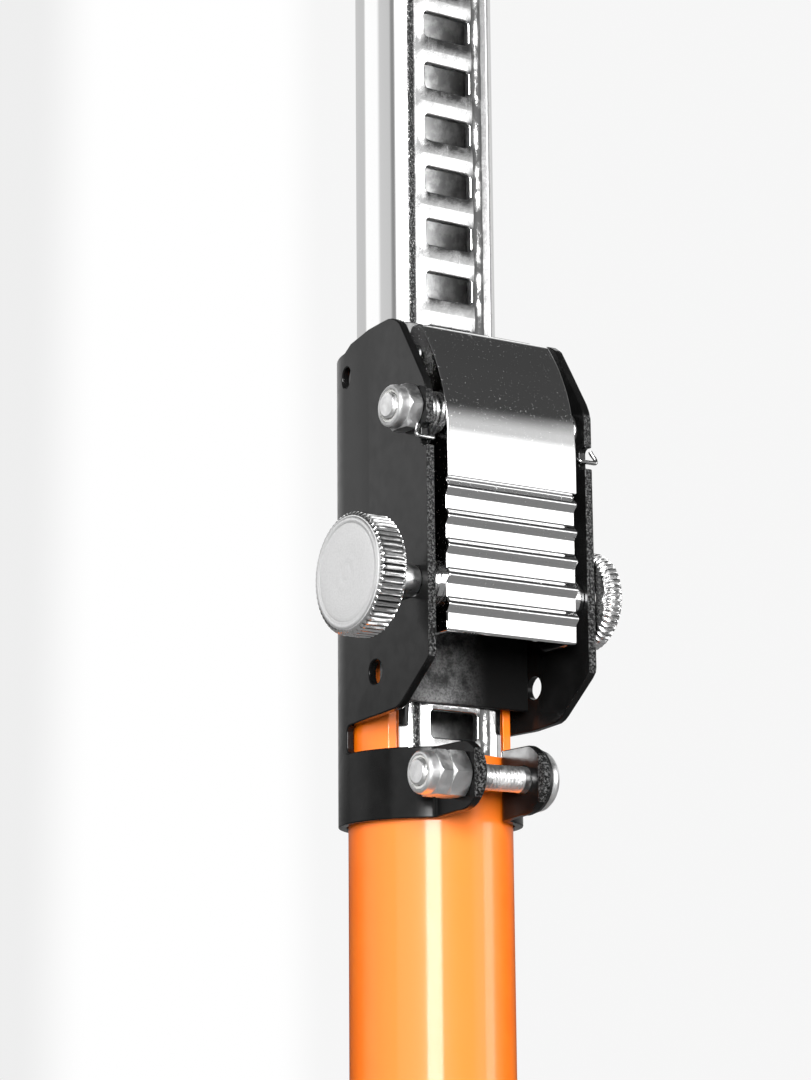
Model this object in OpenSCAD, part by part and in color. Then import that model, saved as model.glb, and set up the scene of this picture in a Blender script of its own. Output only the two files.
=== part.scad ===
// Telescoping pole saw with a spring latch lock.
// The pole stands along +Z with its butt at z = 0. The latch lever faces -Y, and +X is its right-hand side.

/* [Pole] */
// Outside diameter of the handle tube
tube_d = 38; // [38:0.5:38.5]
// Wall of the handle tube
tube_wall = 2; // [1.8:0.1:2]
// Height of the lock's top edge above the butt
lock_z = 850; // [780:10:1100]
// Outside diameter of the sliding pole
pole_d = 33; // [32.8:0.1:33]
// Wall of the sliding pole
pole_wall = 1.8; // [1.6:0.1:1.8]
// Length of sliding pole below the lock's top edge when the saw is closed
pole_below = 765; // [740:5:770]
// Length of sliding pole above the lock's top edge when the saw is closed
pole_above = 205; // [195:5:240]

/* [Latch slots] */
// Distance from one latch slot to the next
slot_pitch = 13.056; // [12.9:0.001:13.2]
// Width of a latch slot
slot_w = 12.88; // [12.7:0.02:13]
// Height of a latch slot
slot_h = 6.3; // [6.2:0.05:6.4]
// Number of latch slots
slot_count = 53; // [46:1:53]

/* [Lock] */
// Sheet thickness of the lock housing
sheet = 2; // [1.9:0.1:2.1]
// Half width of the housing across its cheeks
cheek_half_w = 23.2; // [23.1:0.1:23.6]
// Nominal thread diameter of the bolts
bolt_d = 6; // [5.9:0.1:6]
// Width across flats of the nuts
nut_af = 10; // [9.8:0.1:10]
// Outside width of the latch lever
lever_w = 36.1; // [35.8:0.1:36.2]
// Sheet thickness of the latch lever
lever_sheet = 1.6; // [1.5:0.1:1.8]
// Wire diameter of the latch springs
wire_d = 1; // [0.9:0.1:1]

/* [Saw] */
// Length of the toothed part of the blade
blade_len = 330; // [300:10:360]
// Width of the blade at its root
blade_root_w = 42; // [38:1:44]
// Thickness of the blade
blade_t = 1.8; // [1.2:0.2:2]
// Pitch of the teeth
tooth_pitch = 5.5; // [5:0.5:8]

/* [Grip] */
// Length of the hand grip
grip_len = 300; // [200:10:380]
// Wall of the hand grip
grip_wall = 3.2; // [2.5:0.1:4]

/* [Hidden] */
$fn = 64;
eps = 0.01;

tube_r = tube_d / 2;
tube_bore_r = tube_r - tube_wall;
pole_r = pole_d / 2;
bolt_r = bolt_d / 2;
lever_half_w = lever_w / 2;

// Heights below are counted from the lock's top edge.
tube_top = -16;            // top end of the handle tube, inside the housing
tube_cut_y = -8.3;         // plane of the milled front of the handle tube
tube_cut_z = -101;         // where that milling starts
pole_flat_y = -10.6;       // flat front of the sliding pole
pole_corner_r = 2.5;       // rounded corners beside the flat
groove_depth = 0.7;        // sunk strip along the flat
groove_half_w = 9;
slot_first_top = 118.818;  // top edge of the highest latch slot

wrap_r = tube_r + 0.3;     // inside of the housing's round back
wrap_out_r = wrap_r + sheet;
cheek_bend_y = -10;        // where the cheeks become parallel
cheek_in_x = cheek_half_w - sheet;
relief_top = -93.4;        // relief slot between the cheeks and the clamp band
relief_bottom = -99.8;
relief_back_y = 2.9;
band_bottom = -115.9;
ear_r = 7.9;               // rounded lobes of the clamp ears
left_ear_x = -9.2;         // inner faces of the clamp ears
right_ear_x = 6.2;
clamp_y = -27.6;           // axis of the clamp bolt
clamp_z = -107.4;

pivot_y = -27.2;           // axis of the lever's pivot bolt
pivot_z = -25.4;
lock_y = -27.5;            // axis of the lock screw
lock_z_off = -64.9;
latch_travel = 8;          // degrees that the lever rocks to release
lock_slot_y = 5.5;         // travel of the lock screw along its slots in the cheeks

notch_y = -31.2;           // notch in each cheek's front edge, where the spring hooks on
notch_top = -29.7;
notch_bottom = -34.7;
hook_y = -32.4;            // lowest corner of the spring's hook, in the notch
hook_z = -32.8;
leg_hole_y = -24;          // hole in the lever's flange for the spring's other leg
leg_hole_z = -33.5;

face_y = -33.2;            // front face of the lever
face_bottom = -76.4;
upper_face_y = -34.3;      // the face stands further forward above the beads
step_z = -41.2;
bend_z = -33;              // where the lever's curved top starts
bend_r = 46.8;
bend_angle = 38.1;
flange_back_y = -19.3;
bead_z = [-43.9, -50.5, -57.2, -63.9, -70.5];
bead_h = 1.1;              // raised height and width of the grip beads
bead_w = 3.7;

pawl_reach_y = -8;         // tip of the pawl's tongue
pawl_nose_r = 31.5;        // its nose is round about the pivot axis
pawl_top_z = 0.9;          // top of the tongue where it enters the slot
pawl_slope = 18;
pawl_t = 3;
tongue_half_w = 6.1;

knob_r = 13.8;             // knurled head of the lock screw
knob_out_x = -40.9;
knob_in_x = -34;
hub_in_x = -23.3;
lock_nut_r = 11.5;         // knurled nut of the lock screw
lock_nut_in_x = 24;
lock_nut_out_x = 27;

cap_len = 28;              // solid end of the butt cap
cap_r = 22.5;
hang_hole_z = 13;
hang_hole_r = 4;
hang_half_w = 7;           // half thickness of the tab around the hanging hole

socket_z = 150;            // lower edge of the saw head's socket
socket_r = 20;
tang_top = 300;
blade_hole_z = [242, 280];
blade_bolt_r = 4;
blade_root_z = 228;
blade_arc_r = 520;         // centre line of the blade

// ---- shared shapes ----

// Places its children in the lock's own heights.
module at_lock() {
    translate([0, 0, lock_z]) children();
}

// A round bar along X between two x positions.
module bar_x(x0, x1, r, y = 0, z = 0, fn = 64) {
    translate([x0, y, z]) rotate([0, 90, 0]) cylinder(r = r, h = x1 - x0, $fn = fn);
}

// A shape drawn in (y, z) and extruded along X between two x positions.
module slab_x(x0, x1) {
    translate([x0, 0, 0]) rotate([90, 0, 90]) linear_extrude(x1 - x0) children();
}

// A hexagon nut along X, with one corner pointing to -Y.
module hex_x(x0, x1, af, y, z) {
    translate([x0, y, z]) rotate([0, 90, 0]) rotate([0, 0, 90]) cylinder(d = af / cos(30), h = x1 - x0, $fn = 6);
}

// A flat washer along X.
module washer_x(x0, x1, r_out, r_in, y, z) {
    difference() {
        bar_x(x0, x1, r_out, y, z);
        bar_x(x0 - 1, x1 + 1, r_in, y, z);
    }
}

// A wire swept along a path of points, each ring square to the path there.
module wire(path, sides = 8) {
    last = len(path) - 1;
    rings = [for (i = [0:last])
        let (
            d = path[min(i + 1, last)] - path[max(i - 1, 0)],
            t = d / norm(d),
            seed = abs(t[0]) < 0.9 ? [1, 0, 0] : [0, 0, 1],
            u = cross(t, seed) / norm(cross(t, seed)),
            v = cross(t, u)
        )
        [for (k = [0:sides - 1]) path[i] + wire_d / 2 * (cos(k * 360 / sides) * u + sin(k * 360 / sides) * v)]];
    polyhedron(
        points = [for (ring = rings) each ring],
        faces = concat(
            [[for (k = [sides - 1:-1:0]) k], [for (k = [0:sides - 1]) last * sides + k]],
            [for (i = [0:last - 1]) for (k = [0:sides - 1]) let (n = (k + 1) % sides)
                each [
                    [i * sides + k, i * sides + n, (i + 1) * sides + n],
                    [i * sides + k, (i + 1) * sides + n, (i + 1) * sides + k]
                ]]
        )
    );
}

function arc(cy, cz, r, a0, a1, steps) =
    [for (i = [0:steps]) let (a = a0 + (a1 - a0) * i / steps) [cy + r * cos(a), cz + r * sin(a)]];

// Outline of the sliding pole's D section, shrunk by an inset.
module d_section(inset) {
    r = pole_r - inset;
    corner = pole_corner_r - inset;
    cy = pole_flat_y + pole_corner_r;
    cx = sqrt(pow(pole_r - pole_corner_r, 2) - cy * cy);
    join_y = cy * r / (pole_r - pole_corner_r);
    intersection() {
        circle(r = r, $fn = 128);
        translate([-r, join_y]) square([2 * r, r - join_y]);
    }
    translate([-cx, pole_flat_y + inset]) square([2 * cx, join_y - pole_flat_y - inset + eps]);
    for (side = [-1, 1]) translate([side * cx, cy]) circle(r = corner, $fn = 48);
}

// Cross-section of the sunk strip along the pole's flat, at an inset from the outside.
module groove_section(inset, reach) {
    floor_y = pole_flat_y + inset + groove_depth;
    polygon([
        [-groove_half_w - 2, floor_y - groove_depth - reach], [groove_half_w + 2, floor_y - groove_depth - reach],
        [groove_half_w + 2, floor_y - groove_depth], [groove_half_w, floor_y],
        [-groove_half_w, floor_y], [-groove_half_w - 2, floor_y - groove_depth]
    ]);
}

// Plan of the housing: a round back that opens into two cheeks, parallel from their bend to the front.
cheek_tilt = acos(wrap_out_r / norm([cheek_half_w, cheek_bend_y])) - atan2(-cheek_bend_y, cheek_half_w);
module cheek_plan(r, half_w) {
    front = -40;
    bend_y = (r - half_w * cos(cheek_tilt)) / sin(cheek_tilt);
    circle(r = r, $fn = 128);
    polygon([
        [-r * cos(cheek_tilt), r * sin(cheek_tilt)], [-half_w, bend_y], [-half_w, front],
        [half_w, front], [half_w, bend_y], [r * cos(cheek_tilt), r * sin(cheek_tilt)]
    ]);
}

// ---- handle ----

module outer_tube() {
    color("darkorange") difference() {
        translate([0, 0, cap_len]) cylinder(r = tube_r, h = lock_z + tube_top - cap_len, $fn = 128);
        translate([0, 0, cap_len - 1]) cylinder(r = tube_bore_r, h = lock_z, $fn = 128);
        at_lock() translate([-tube_d, -tube_d, tube_cut_z])
            cube([2 * tube_d, tube_d + tube_cut_y, tube_top - tube_cut_z + 10]);
    }
}

module butt_cap() {
    sleeve = 22;
    color([0.12, 0.12, 0.12]) difference() {
        union() {
            translate([0, 0, 4]) cylinder(r = cap_r, h = cap_len + sleeve - 4, $fn = 96);
            cylinder(r1 = cap_r - 3, r2 = cap_r, h = 4, $fn = 96);
        }
        translate([0, 0, cap_len]) cylinder(r = tube_r, h = sleeve + 1, $fn = 128);
        for (side = [-1, 1]) translate([side * (hang_half_w + cap_r) - cap_r, -cap_r - 1, -1])
            cube([2 * cap_r, 2 * cap_r + 2, hang_hole_z + 9]);
        bar_x(-cap_r, cap_r, hang_hole_r, 0, hang_hole_z);
    }
}

module hand_grip() {
    start = cap_len + 22;
    groove_gap = 12;
    color([0.1, 0.1, 0.1]) difference() {
        translate([0, 0, start]) cylinder(r = tube_r + grip_wall, h = grip_len, $fn = 96);
        translate([0, 0, start - 1]) cylinder(r = tube_r, h = grip_len + 2, $fn = 128);
        for (z = [start + 15:groove_gap:start + grip_len - 15]) translate([0, 0, z])
            rotate_extrude($fn = 96) translate([tube_r + grip_wall, 0]) circle(r = 1, $fn = 24);
    }
}

// ---- lock housing and its clamp ----

module cheek_outline() {
    back = wrap_out_r + 5;
    polygon([
        [back, -5], [3.5, -4.8], [0, -3.4], [-16, -2.1], [-18.1, -2], [-20.9, -2.7], [-23, -4.2],
        [-26.9, -10.4], [-32.7, -19.9], [-33.5, -22.8], [-33.7, -81], [-32.5, -83.4], [-23, -91],
        [-20.2, -92.4], [-11.7, -93.1], [relief_back_y - 1.5, relief_top], [relief_back_y, relief_top - 1.5],
        [relief_back_y, relief_bottom + 1.5], [relief_back_y - 1.5, relief_bottom],
        [relief_back_y - 3, relief_bottom - 1], [back, relief_bottom - 1]
    ]);
}

module clamp_ear(x) {
    slab_x(x, x + sheet) union() {
        translate([clamp_y, clamp_z]) circle(r = ear_r);
        translate([clamp_y, clamp_z - ear_r]) square([-16 - clamp_y, 2 * ear_r]);
    }
}

module lock_housing() {
    color([0.16, 0.16, 0.17]) at_lock() difference() {
        union() {
            intersection() {
                translate([0, 0, -110]) linear_extrude(120) difference() {
                    cheek_plan(wrap_out_r, cheek_half_w);
                    cheek_plan(wrap_r, cheek_in_x);
                }
                slab_x(-30, 30) cheek_outline();
            }
            difference() {
                union() {
                    translate([0, 0, band_bottom]) cylinder(r = wrap_out_r - 0.1, h = relief_bottom - band_bottom, $fn = 128);
                    clamp_ear(left_ear_x - sheet);
                    clamp_ear(right_ear_x);
                }
                translate([0, 0, band_bottom - 1]) cylinder(r = wrap_r, h = 40, $fn = 128);
                translate([left_ear_x, -40, band_bottom - 1]) cube([right_ear_x - left_ear_x, 40, 40]);
            }
        }
        bar_x(-30, 30, bolt_r + 0.1, pivot_y, pivot_z);
        bar_x(-30, 30, bolt_r + 0.1, clamp_y, clamp_z);
        bar_x(-30, 30, 2.75, -12.1, -83.1);
        bar_x(-30, 30, 2.5, 2.5, -11);
        for (dy = [0, lock_slot_y]) bar_x(-30, 30, bolt_r + 0.4, lock_y + dy, lock_z_off);
        translate([-30, lock_y, lock_z_off - bolt_r - 0.4]) cube([60, lock_slot_y, bolt_d + 0.8]);
        translate([-30, -40, notch_bottom]) cube([60, 40 + notch_y, notch_top - notch_bottom]);
    }
}

module guide_plate() {
    half_w = 12.5;
    wing_half_w = cheek_in_x - 0.02;
    right_gap = 2.2;
    color([0.13, 0.13, 0.13]) at_lock() {
        translate([-half_w, pole_flat_y - 0.3 - sheet, -88.9]) cube([2 * half_w, sheet, 70.9]);
        translate([-wing_half_w, pole_flat_y - 0.3 - sheet, -88.9]) cube([2 * wing_half_w - right_gap, sheet, 60.9]);
    }
}

module clamp_bolt() {
    head_x = right_ear_x + sheet + 1.25;
    color("silver") at_lock() {
        bar_x(-22.9, head_x + eps, bolt_r, clamp_y, clamp_z);
        translate([head_x, clamp_y, clamp_z]) rotate([0, 90, 0]) rotate_extrude($fn = 64) intersection() {
            square([7, 3.8]);
            translate([0, -6.4]) circle(r = 10.2, $fn = 96);
        }
    }
}

module clamp_washer() {
    color([0.15, 0.15, 0.15]) at_lock()
        washer_x(right_ear_x + sheet, right_ear_x + sheet + 1.2, 7.4, bolt_r + 0.1, clamp_y, clamp_z);
}

module clamp_nut() {
    x1 = left_ear_x - sheet - 0.05;
    color("silver") at_lock() difference() {
        hex_x(x1 - 5, x1, nut_af, clamp_y, clamp_z);
        bar_x(x1 - 6, x1 + 1, bolt_r + 0.02, clamp_y, clamp_z);
    }
}

// A self-locking nut along X: a hexagon with a round collar on its -X side.
module locking_nut(x1, y, z) {
    difference() {
        union() {
            hex_x(x1 - 3.6, x1, nut_af, y, z);
            bar_x(x1 - 6, x1 - 3.6 + eps, nut_af / 2 - 0.05, y, z);
        }
        bar_x(x1 - 7, x1 + 1, bolt_r + 0.02, y, z);
    }
}

module clamp_lock_nut() {
    color("silver") at_lock() locking_nut(left_ear_x - sheet - 5.1, clamp_y, clamp_z);
}

// ---- lever pivot and springs ----

module pivot_bolt() {
    color("silver") at_lock() {
        bar_x(-29.9, cheek_half_w + 0.3, bolt_r, pivot_y, pivot_z);
        bar_x(cheek_half_w + 0.1, cheek_half_w + 1.3, 4.4, pivot_y, pivot_z);
    }
}

module pivot_nut() {
    color("silver") at_lock() locking_nut(-cheek_half_w - 0.02, pivot_y, pivot_z);
}

// The torsion spring on the right of the lever, coiled round the pivot bolt. One leg hooks over the
// cheek's front edge, and the other ends in a hole in the lever's flange.
module latch_spring() {
    coil_r = 4.4;
    first = -62;
    turns = 1.816;
    inner_x = lever_half_w + 0.08 + wire_d / 2;
    outer_x = inner_x + turns * (wire_d + 0.02);
    steps = 44;
    coil = [for (i = [0:steps]) let (a = first + 360 * turns * i / steps)
        [outer_x + (inner_x - outer_x) * i / steps, pivot_y + coil_r * cos(a), pivot_z + coil_r * sin(a)]];
    color([0.75, 0.75, 0.78]) at_lock() wire(concat(
        [
            [24.2, hook_y + 0.8, hook_z + 2.8], [24.6, hook_y + 0.6, hook_z + 1.9], [25.2, hook_y + 0.1, hook_z + 0.6], [25.1, hook_y - 0.1, hook_z + 0.1], [24.6, hook_y - 0.1, hook_z - 0.1],
            [outer_x + 0.6, hook_y, hook_z - 0.1], [outer_x + 0.1, hook_y + 0.2, hook_z + 0.1],
            [outer_x, hook_y + 0.8, hook_z + 0.4]
        ],
        coil,
        [
            [inner_x, leg_hole_y - 0.3, leg_hole_z + 0.25], [inner_x - 0.15, leg_hole_y, leg_hole_z],
            [inner_x - 0.6, leg_hole_y, leg_hole_z], [inner_x - 3, leg_hole_y, leg_hole_z]
        ]
    ));
}

module left_spring() {
    mirror([1, 0, 0]) latch_spring();
}

module right_spring() {
    latch_spring();
}

// ---- latch lever ----

module lever_profile(inset) {
    r = bend_r - inset;
    cy = upper_face_y + bend_r;
    polygon(concat(
        [
            [face_y + inset, face_bottom], [face_y + inset, step_z - 0.85 - inset / 2],
            [upper_face_y + inset, step_z - inset / 2], [upper_face_y + inset, bend_z]
        ],
        arc(cy, bend_z, r, 180, 180 - bend_angle, 16),
        inset > 0 ? [[-10, 0], [-10, face_bottom]] : [
            [-23.9, -3.9], [-22, -3.4], [-20.6, -3.5], [-19.7, -4.2], [flange_back_y, -5.4],
            [flange_back_y, -60], [-20, -73], [-20.8, -75.4], [-22.5, face_bottom]
        ]
    ));
}

module latch_lever() {
    bead_r = (bead_w * bead_w / 4 + bead_h * bead_h) / (2 * bead_h);
    inside = lever_half_w - lever_sheet;
    color([0.85, 0.86, 0.88]) at_lock() difference() {
        union() {
            difference() {
                slab_x(-lever_half_w, lever_half_w) lever_profile(0);
                slab_x(-inside, inside) lever_profile(lever_sheet);
                translate([-inside, face_y + lever_sheet, face_bottom - 1]) cube([2 * inside, 30, 10]);
            }
            for (z = bead_z) difference() {
                bar_x(-lever_half_w, lever_half_w, bead_r, face_y - bead_h + bead_r, z);
                translate([-30, face_y + lever_sheet / 2, z - 5]) cube([60, 10, 10]);
            }
        }
        bar_x(-30, 30, bolt_r + 0.06, pivot_y, pivot_z);
        bar_x(-30, 30, bolt_r + 0.1, lock_y, lock_z_off);
        for (side = [-1, 1]) {
            bar_x(side * 17 - 3, side * 17 + 3, 0.8, leg_hole_y, leg_hole_z);
            bar_x(side * 17 - 3, side * 17 + 3, 1.5, -21.6, -10.5);
        }
    }
}

module pawl() {
    leg_x = lever_half_w - lever_sheet - 0.05;
    nose_y = pawl_reach_y - pivot_y;
    entry_y = sqrt(pawl_nose_r * pawl_nose_r - pow(pawl_top_z - pivot_z, 2));
    start_a = atan2(pawl_top_z - pivot_z, entry_y);
    end_a = acos(nose_y / pawl_nose_r);
    front_y = -19.6;
    leg_front_y = -22.8;
    leg_back_y = -17.5;
    drop = (pivot_y + entry_y - front_y) * tan(pawl_slope);
    top_front = [front_y, pawl_top_z - drop];
    color([0.6, 0.6, 0.62]) at_lock() difference() {
        union() {
            slab_x(-tongue_half_w, tongue_half_w) polygon(concat(
                [top_front], arc(pivot_y, pivot_z, pawl_nose_r, start_a, end_a, 6),
                [[pawl_reach_y, -2.6], [front_y, top_front[1] - pawl_t]]
            ));
            slab_x(-leg_x, leg_x) polygon([
                top_front, [-14, pawl_top_z - (pivot_y + entry_y + 14) * tan(pawl_slope)],
                [-14, pawl_top_z - pawl_t - (pivot_y + entry_y + 14) * tan(pawl_slope)], [front_y, top_front[1] - pawl_t]
            ]);
            for (side = [-1, 1]) slab_x(side * (leg_x - 1) - 1, side * (leg_x - 1) + 1) polygon([
                [leg_front_y, -13.5], [leg_back_y, -13.5], [leg_back_y, -4], [front_y, -4.6],
                [front_y, -5.6], [leg_front_y, -5.6]
            ]);
        }
        for (side = [-1, 1]) bar_x(side * leg_x - 3, side * leg_x + 3, 1.5, -21.6, -10.5);
    }
}

module pawl_rivets() {
    inside = lever_half_w - lever_sheet - 2.1;
    color([0.7, 0.7, 0.72]) at_lock() for (side = [-1, 1]) {
        mirror([side < 0 ? 1 : 0, 0, 0]) {
            bar_x(inside - 0.9, lever_half_w + 0.2, 1.45, -21.6, -10.5, 32);
            bar_x(lever_half_w + 0.04, lever_half_w + 0.2, 2.2, -21.6, -10.5, 32);
            bar_x(inside - 0.95, inside - 0.05, 2.2, -21.6, -10.5, 32);
        }
    }
}

// ---- lock screw ----

module lock_spacers() {
    gap = cheek_in_x - lever_half_w;
    color([0.8, 0.8, 0.82]) at_lock() for (side = [0, 1]) mirror([side, 0, 0]) {
        washer_x(lever_half_w + 0.03, lever_half_w + gap / 2, 5.4, bolt_r + 0.1, lock_y, lock_z_off);
        washer_x(lever_half_w + gap / 2 + 0.03, cheek_in_x - 0.08, 4.7, bolt_r + 0.1, lock_y, lock_z_off);
    }
}

// A knurled disc along X.
module knurled(x0, x1, r, teeth) {
    depth = 0.45;
    difference() {
        bar_x(x0, x1, r, lock_y, lock_z_off, 96);
        for (i = [0:teeth - 1]) translate([0, lock_y, lock_z_off]) rotate([i * 360 / teeth, 0, 0])
            translate([x0 - 1, r - depth, 0]) rotate([-45, 0, 0]) cube([x1 - x0 + 2, 2, 2]);
    }
}

module lock_screw() {
    chamfer = 1;
    color([0.8, 0.8, 0.8]) at_lock() {
        bar_x(hub_in_x - 1, lock_nut_out_x - 0.5, bolt_r, lock_y, lock_z_off);
        translate([knob_in_x - eps, lock_y, lock_z_off]) rotate([0, 90, 0])
            cylinder(r1 = 5, r2 = bolt_r + 0.6, h = hub_in_x - knob_in_x);
        knurled(knob_out_x + chamfer, knob_in_x - chamfer, knob_r, 60);
        for (end = [0, 1]) translate([end ? knob_in_x - chamfer - eps : knob_out_x, lock_y, lock_z_off])
            rotate([0, 90, 0]) cylinder(
                r1 = end ? knob_r - 0.5 : knob_r - 1.5, r2 = end ? knob_r - 1.5 : knob_r - 0.5,
                h = chamfer + eps, $fn = 96
            );
    }
}

module lock_nut() {
    color([0.8, 0.8, 0.8]) at_lock() difference() {
        union() {
            knurled(lock_nut_in_x, lock_nut_out_x, lock_nut_r, 38);
            bar_x(cheek_half_w + 0.25, lock_nut_in_x + eps, 6, lock_y, lock_z_off);
        }
        bar_x(20, 40, bolt_r + 0.03, lock_y, lock_z_off);
    }
}

module retaining_ring() {
    color([0.3, 0.3, 0.32]) at_lock() washer_x(-12, -11, 3.9, bolt_r + 0.03, lock_y, lock_z_off);
}

// ---- sliding pole ----

module pole_profile() {
    difference() {
        d_section(0);
        difference() {
            d_section(pole_wall);
            groove_section(pole_wall, 2);
        }
        groove_section(0, 2);
    }
}

module slot_outline() {
    corner = 1;
    for (dx = [0, corner]) translate([-slot_w / 2 + dx, corner - dx])
        square([slot_w - 2 * dx, slot_h - 2 * (corner - dx)]);
    for (x = [-slot_w / 2 + corner, slot_w / 2 - corner]) for (z = [corner, slot_h - corner])
        translate([x, z]) circle(r = corner, $fn = 24);
}

module inner_pole() {
    cross_hole_z = 178;
    color([0.88, 0.89, 0.9]) at_lock() difference() {
        translate([0, 0, -pole_below]) linear_extrude(pole_below + pole_above) pole_profile();
        for (i = [0:slot_count - 1]) translate([0, -5, slot_first_top - slot_h - i * slot_pitch])
            rotate([90, 0, 0]) linear_extrude(10) slot_outline();
        bar_x(-30, 30, bolt_r + 0.1, 0, cross_hole_z);
    }
}

// Plug in the foot of the sliding pole, with a flange that runs in the handle tube.
module slider_bush() {
    color([0.15, 0.15, 0.15]) at_lock() translate([0, 0, -pole_below]) {
        translate([0, 0, -6]) difference() {
            cylinder(r = tube_bore_r - 0.1, h = 6, $fn = 128);
            translate([0, 0, -1]) cylinder(r = 11, h = 10);
        }
        difference() {
            cylinder(r = 8, h = 22);
            translate([0, 0, -1]) cylinder(r = 6, h = 24);
        }
        difference() {
            translate([0, 0, 0]) linear_extrude(22) intersection() {
                d_section(pole_wall + 0.05);
                translate([-20, pole_flat_y + pole_wall + groove_depth + 0.05]) square([40, 40]);
            }
            translate([0, 0, -1]) cylinder(r = 8 - eps, h = 24);
        }
    }
}

// ---- saw head and blade ----

module head_socket() {
    top = pole_above + 6;
    tang_x0 = blade_t / 2 + 0.02;
    tang_t = 7;
    tang_half_w = 18;
    color([0.14, 0.14, 0.15]) at_lock() difference() {
        union() {
            translate([0, 0, socket_z]) cylinder(r = socket_r, h = top - socket_z, $fn = 128);
            translate([0, 0, socket_z]) cylinder(r = socket_r + 1.5, h = 8, $fn = 128);
            intersection() {
                translate([0, 0, top - eps]) cylinder(r1 = socket_r, r2 = socket_r - 2, h = tang_top);
                slab_x(tang_x0, tang_x0 + tang_t) union() {
                    translate([-socket_r, top - eps]) square([2 * socket_r, tang_top - top - tang_half_w]);
                    translate([0, tang_top - tang_half_w]) circle(r = tang_half_w);
                }
            }
            for (y = [-10, 10]) translate([tang_x0 + tang_t - eps, y - 2, top - eps]) rotate([90, 0, 90])
                linear_extrude(7) polygon([[0, 0], [4, 0], [4, 18], [0, 18]]);
        }
        translate([0, 0, socket_z - 1]) linear_extrude(pole_above - socket_z + 1) d_section(-0.1);
        bar_x(-30, 30, bolt_r + 0.1, 0, 178);
        for (z = blade_hole_z) bar_x(-5, 30, blade_bolt_r + 0.1, 0, z);
    }
}

module head_bolt() {
    color("silver") at_lock() {
        bar_x(-socket_r - 6, socket_r + 0.2, bolt_r, 0, 178);
        hex_x(socket_r + 0.1, socket_r + 4.1, nut_af, 0, 178);
    }
}

module head_nut() {
    color("silver") at_lock() locking_nut(-socket_r - 0.1, 0, 178);
}

// Edge of the blade at a distance along its arc, offset towards the spine (+) or the teeth (-).
function blade_point(s, offset) =
    let (a = s / blade_arc_r * 180 / PI)
    [-blade_arc_r + (blade_arc_r + offset) * cos(a), blade_root_z + 62 + (blade_arc_r + offset) * sin(a)];
function blade_half(s) = blade_root_w / 2 - 11 * pow(s / blade_len, 1.3);

module saw_blade() {
    tooth_h = 4;
    teeth = floor(blade_len / tooth_pitch) - 2;
    spine = [for (i = [24:-1:0]) let (s = blade_len * i / 24) blade_point(s, blade_half(s))];
    edge = [for (i = [0:teeth]) for (tip = [0, 1]) let (s = (i + 0.25 * tip) * tooth_pitch + 4)
        blade_point(s, -blade_half(s) + tooth_h * (1 - tip))];
    tip_s = (teeth + 1) * tooth_pitch + 4;
    root = [[blade_root_w / 2, blade_root_z + 18], [blade_root_w / 2 - 8, blade_root_z],
        [-blade_root_w / 2 + 8, blade_root_z], [-blade_root_w / 2, blade_root_z + 8]];
    color([0.75, 0.77, 0.8]) at_lock() difference() {
        slab_x(-blade_t / 2, blade_t / 2) polygon(concat(
            spine, root, edge, [blade_point(tip_s, -blade_half(tip_s)), blade_point(blade_len + 3, 0)]
        ));
        for (z = blade_hole_z) bar_x(-5, 5, blade_bolt_r + 0.1, 0, z);
    }
}

module blade_bolts() {
    color("silver") at_lock() for (z = blade_hole_z) {
        bar_x(-blade_t / 2 - 1.7, 18.5, blade_bolt_r, 0, z);
        hex_x(-blade_t / 2 - 1.7 - 5.3, -blade_t / 2 - 1.65, 13, 0, z);
    }
}

module blade_washers() {
    color("silver") at_lock() for (z = blade_hole_z)
        washer_x(-blade_t / 2 - 1.6, -blade_t / 2 - 0.02, 8, blade_bolt_r + 0.1, 0, z);
}

module blade_nuts() {
    x0 = blade_t / 2 + 7.1;
    color("silver") at_lock() for (z = blade_hole_z) difference() {
        union() {
            hex_x(x0, x0 + 6.5, 13, 0, z);
            bar_x(x0 + 6.5 - eps, x0 + 8.5, 6.3, 0, z);
        }
        bar_x(x0 - 1, x0 + 10, blade_bolt_r + 0.02, 0, z);
    }
}

outer_tube();
butt_cap();
hand_grip();
lock_housing();
guide_plate();
clamp_bolt();
clamp_washer();
clamp_nut();
clamp_lock_nut();
pivot_bolt();
pivot_nut();
left_spring();
right_spring();
latch_lever();
pawl();
pawl_rivets();
lock_spacers();
lock_nut();
retaining_ring();
lock_screw();
inner_pole();
slider_bush();
head_socket();
head_bolt();
head_nut();
saw_blade();
blade_bolts();
blade_washers();
blade_nuts();
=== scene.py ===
"""Telescoping pole saw: the visual model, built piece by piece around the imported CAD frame.

Shapes are written in millimetres. Heights inside the lock are counted from the lock's top edge.
"""

from math import acos, atan2, ceil, cos, degrees, floor, pi, radians, sin, sqrt, tan

import bmesh
import bpy
from mathutils import Matrix, Vector


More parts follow.
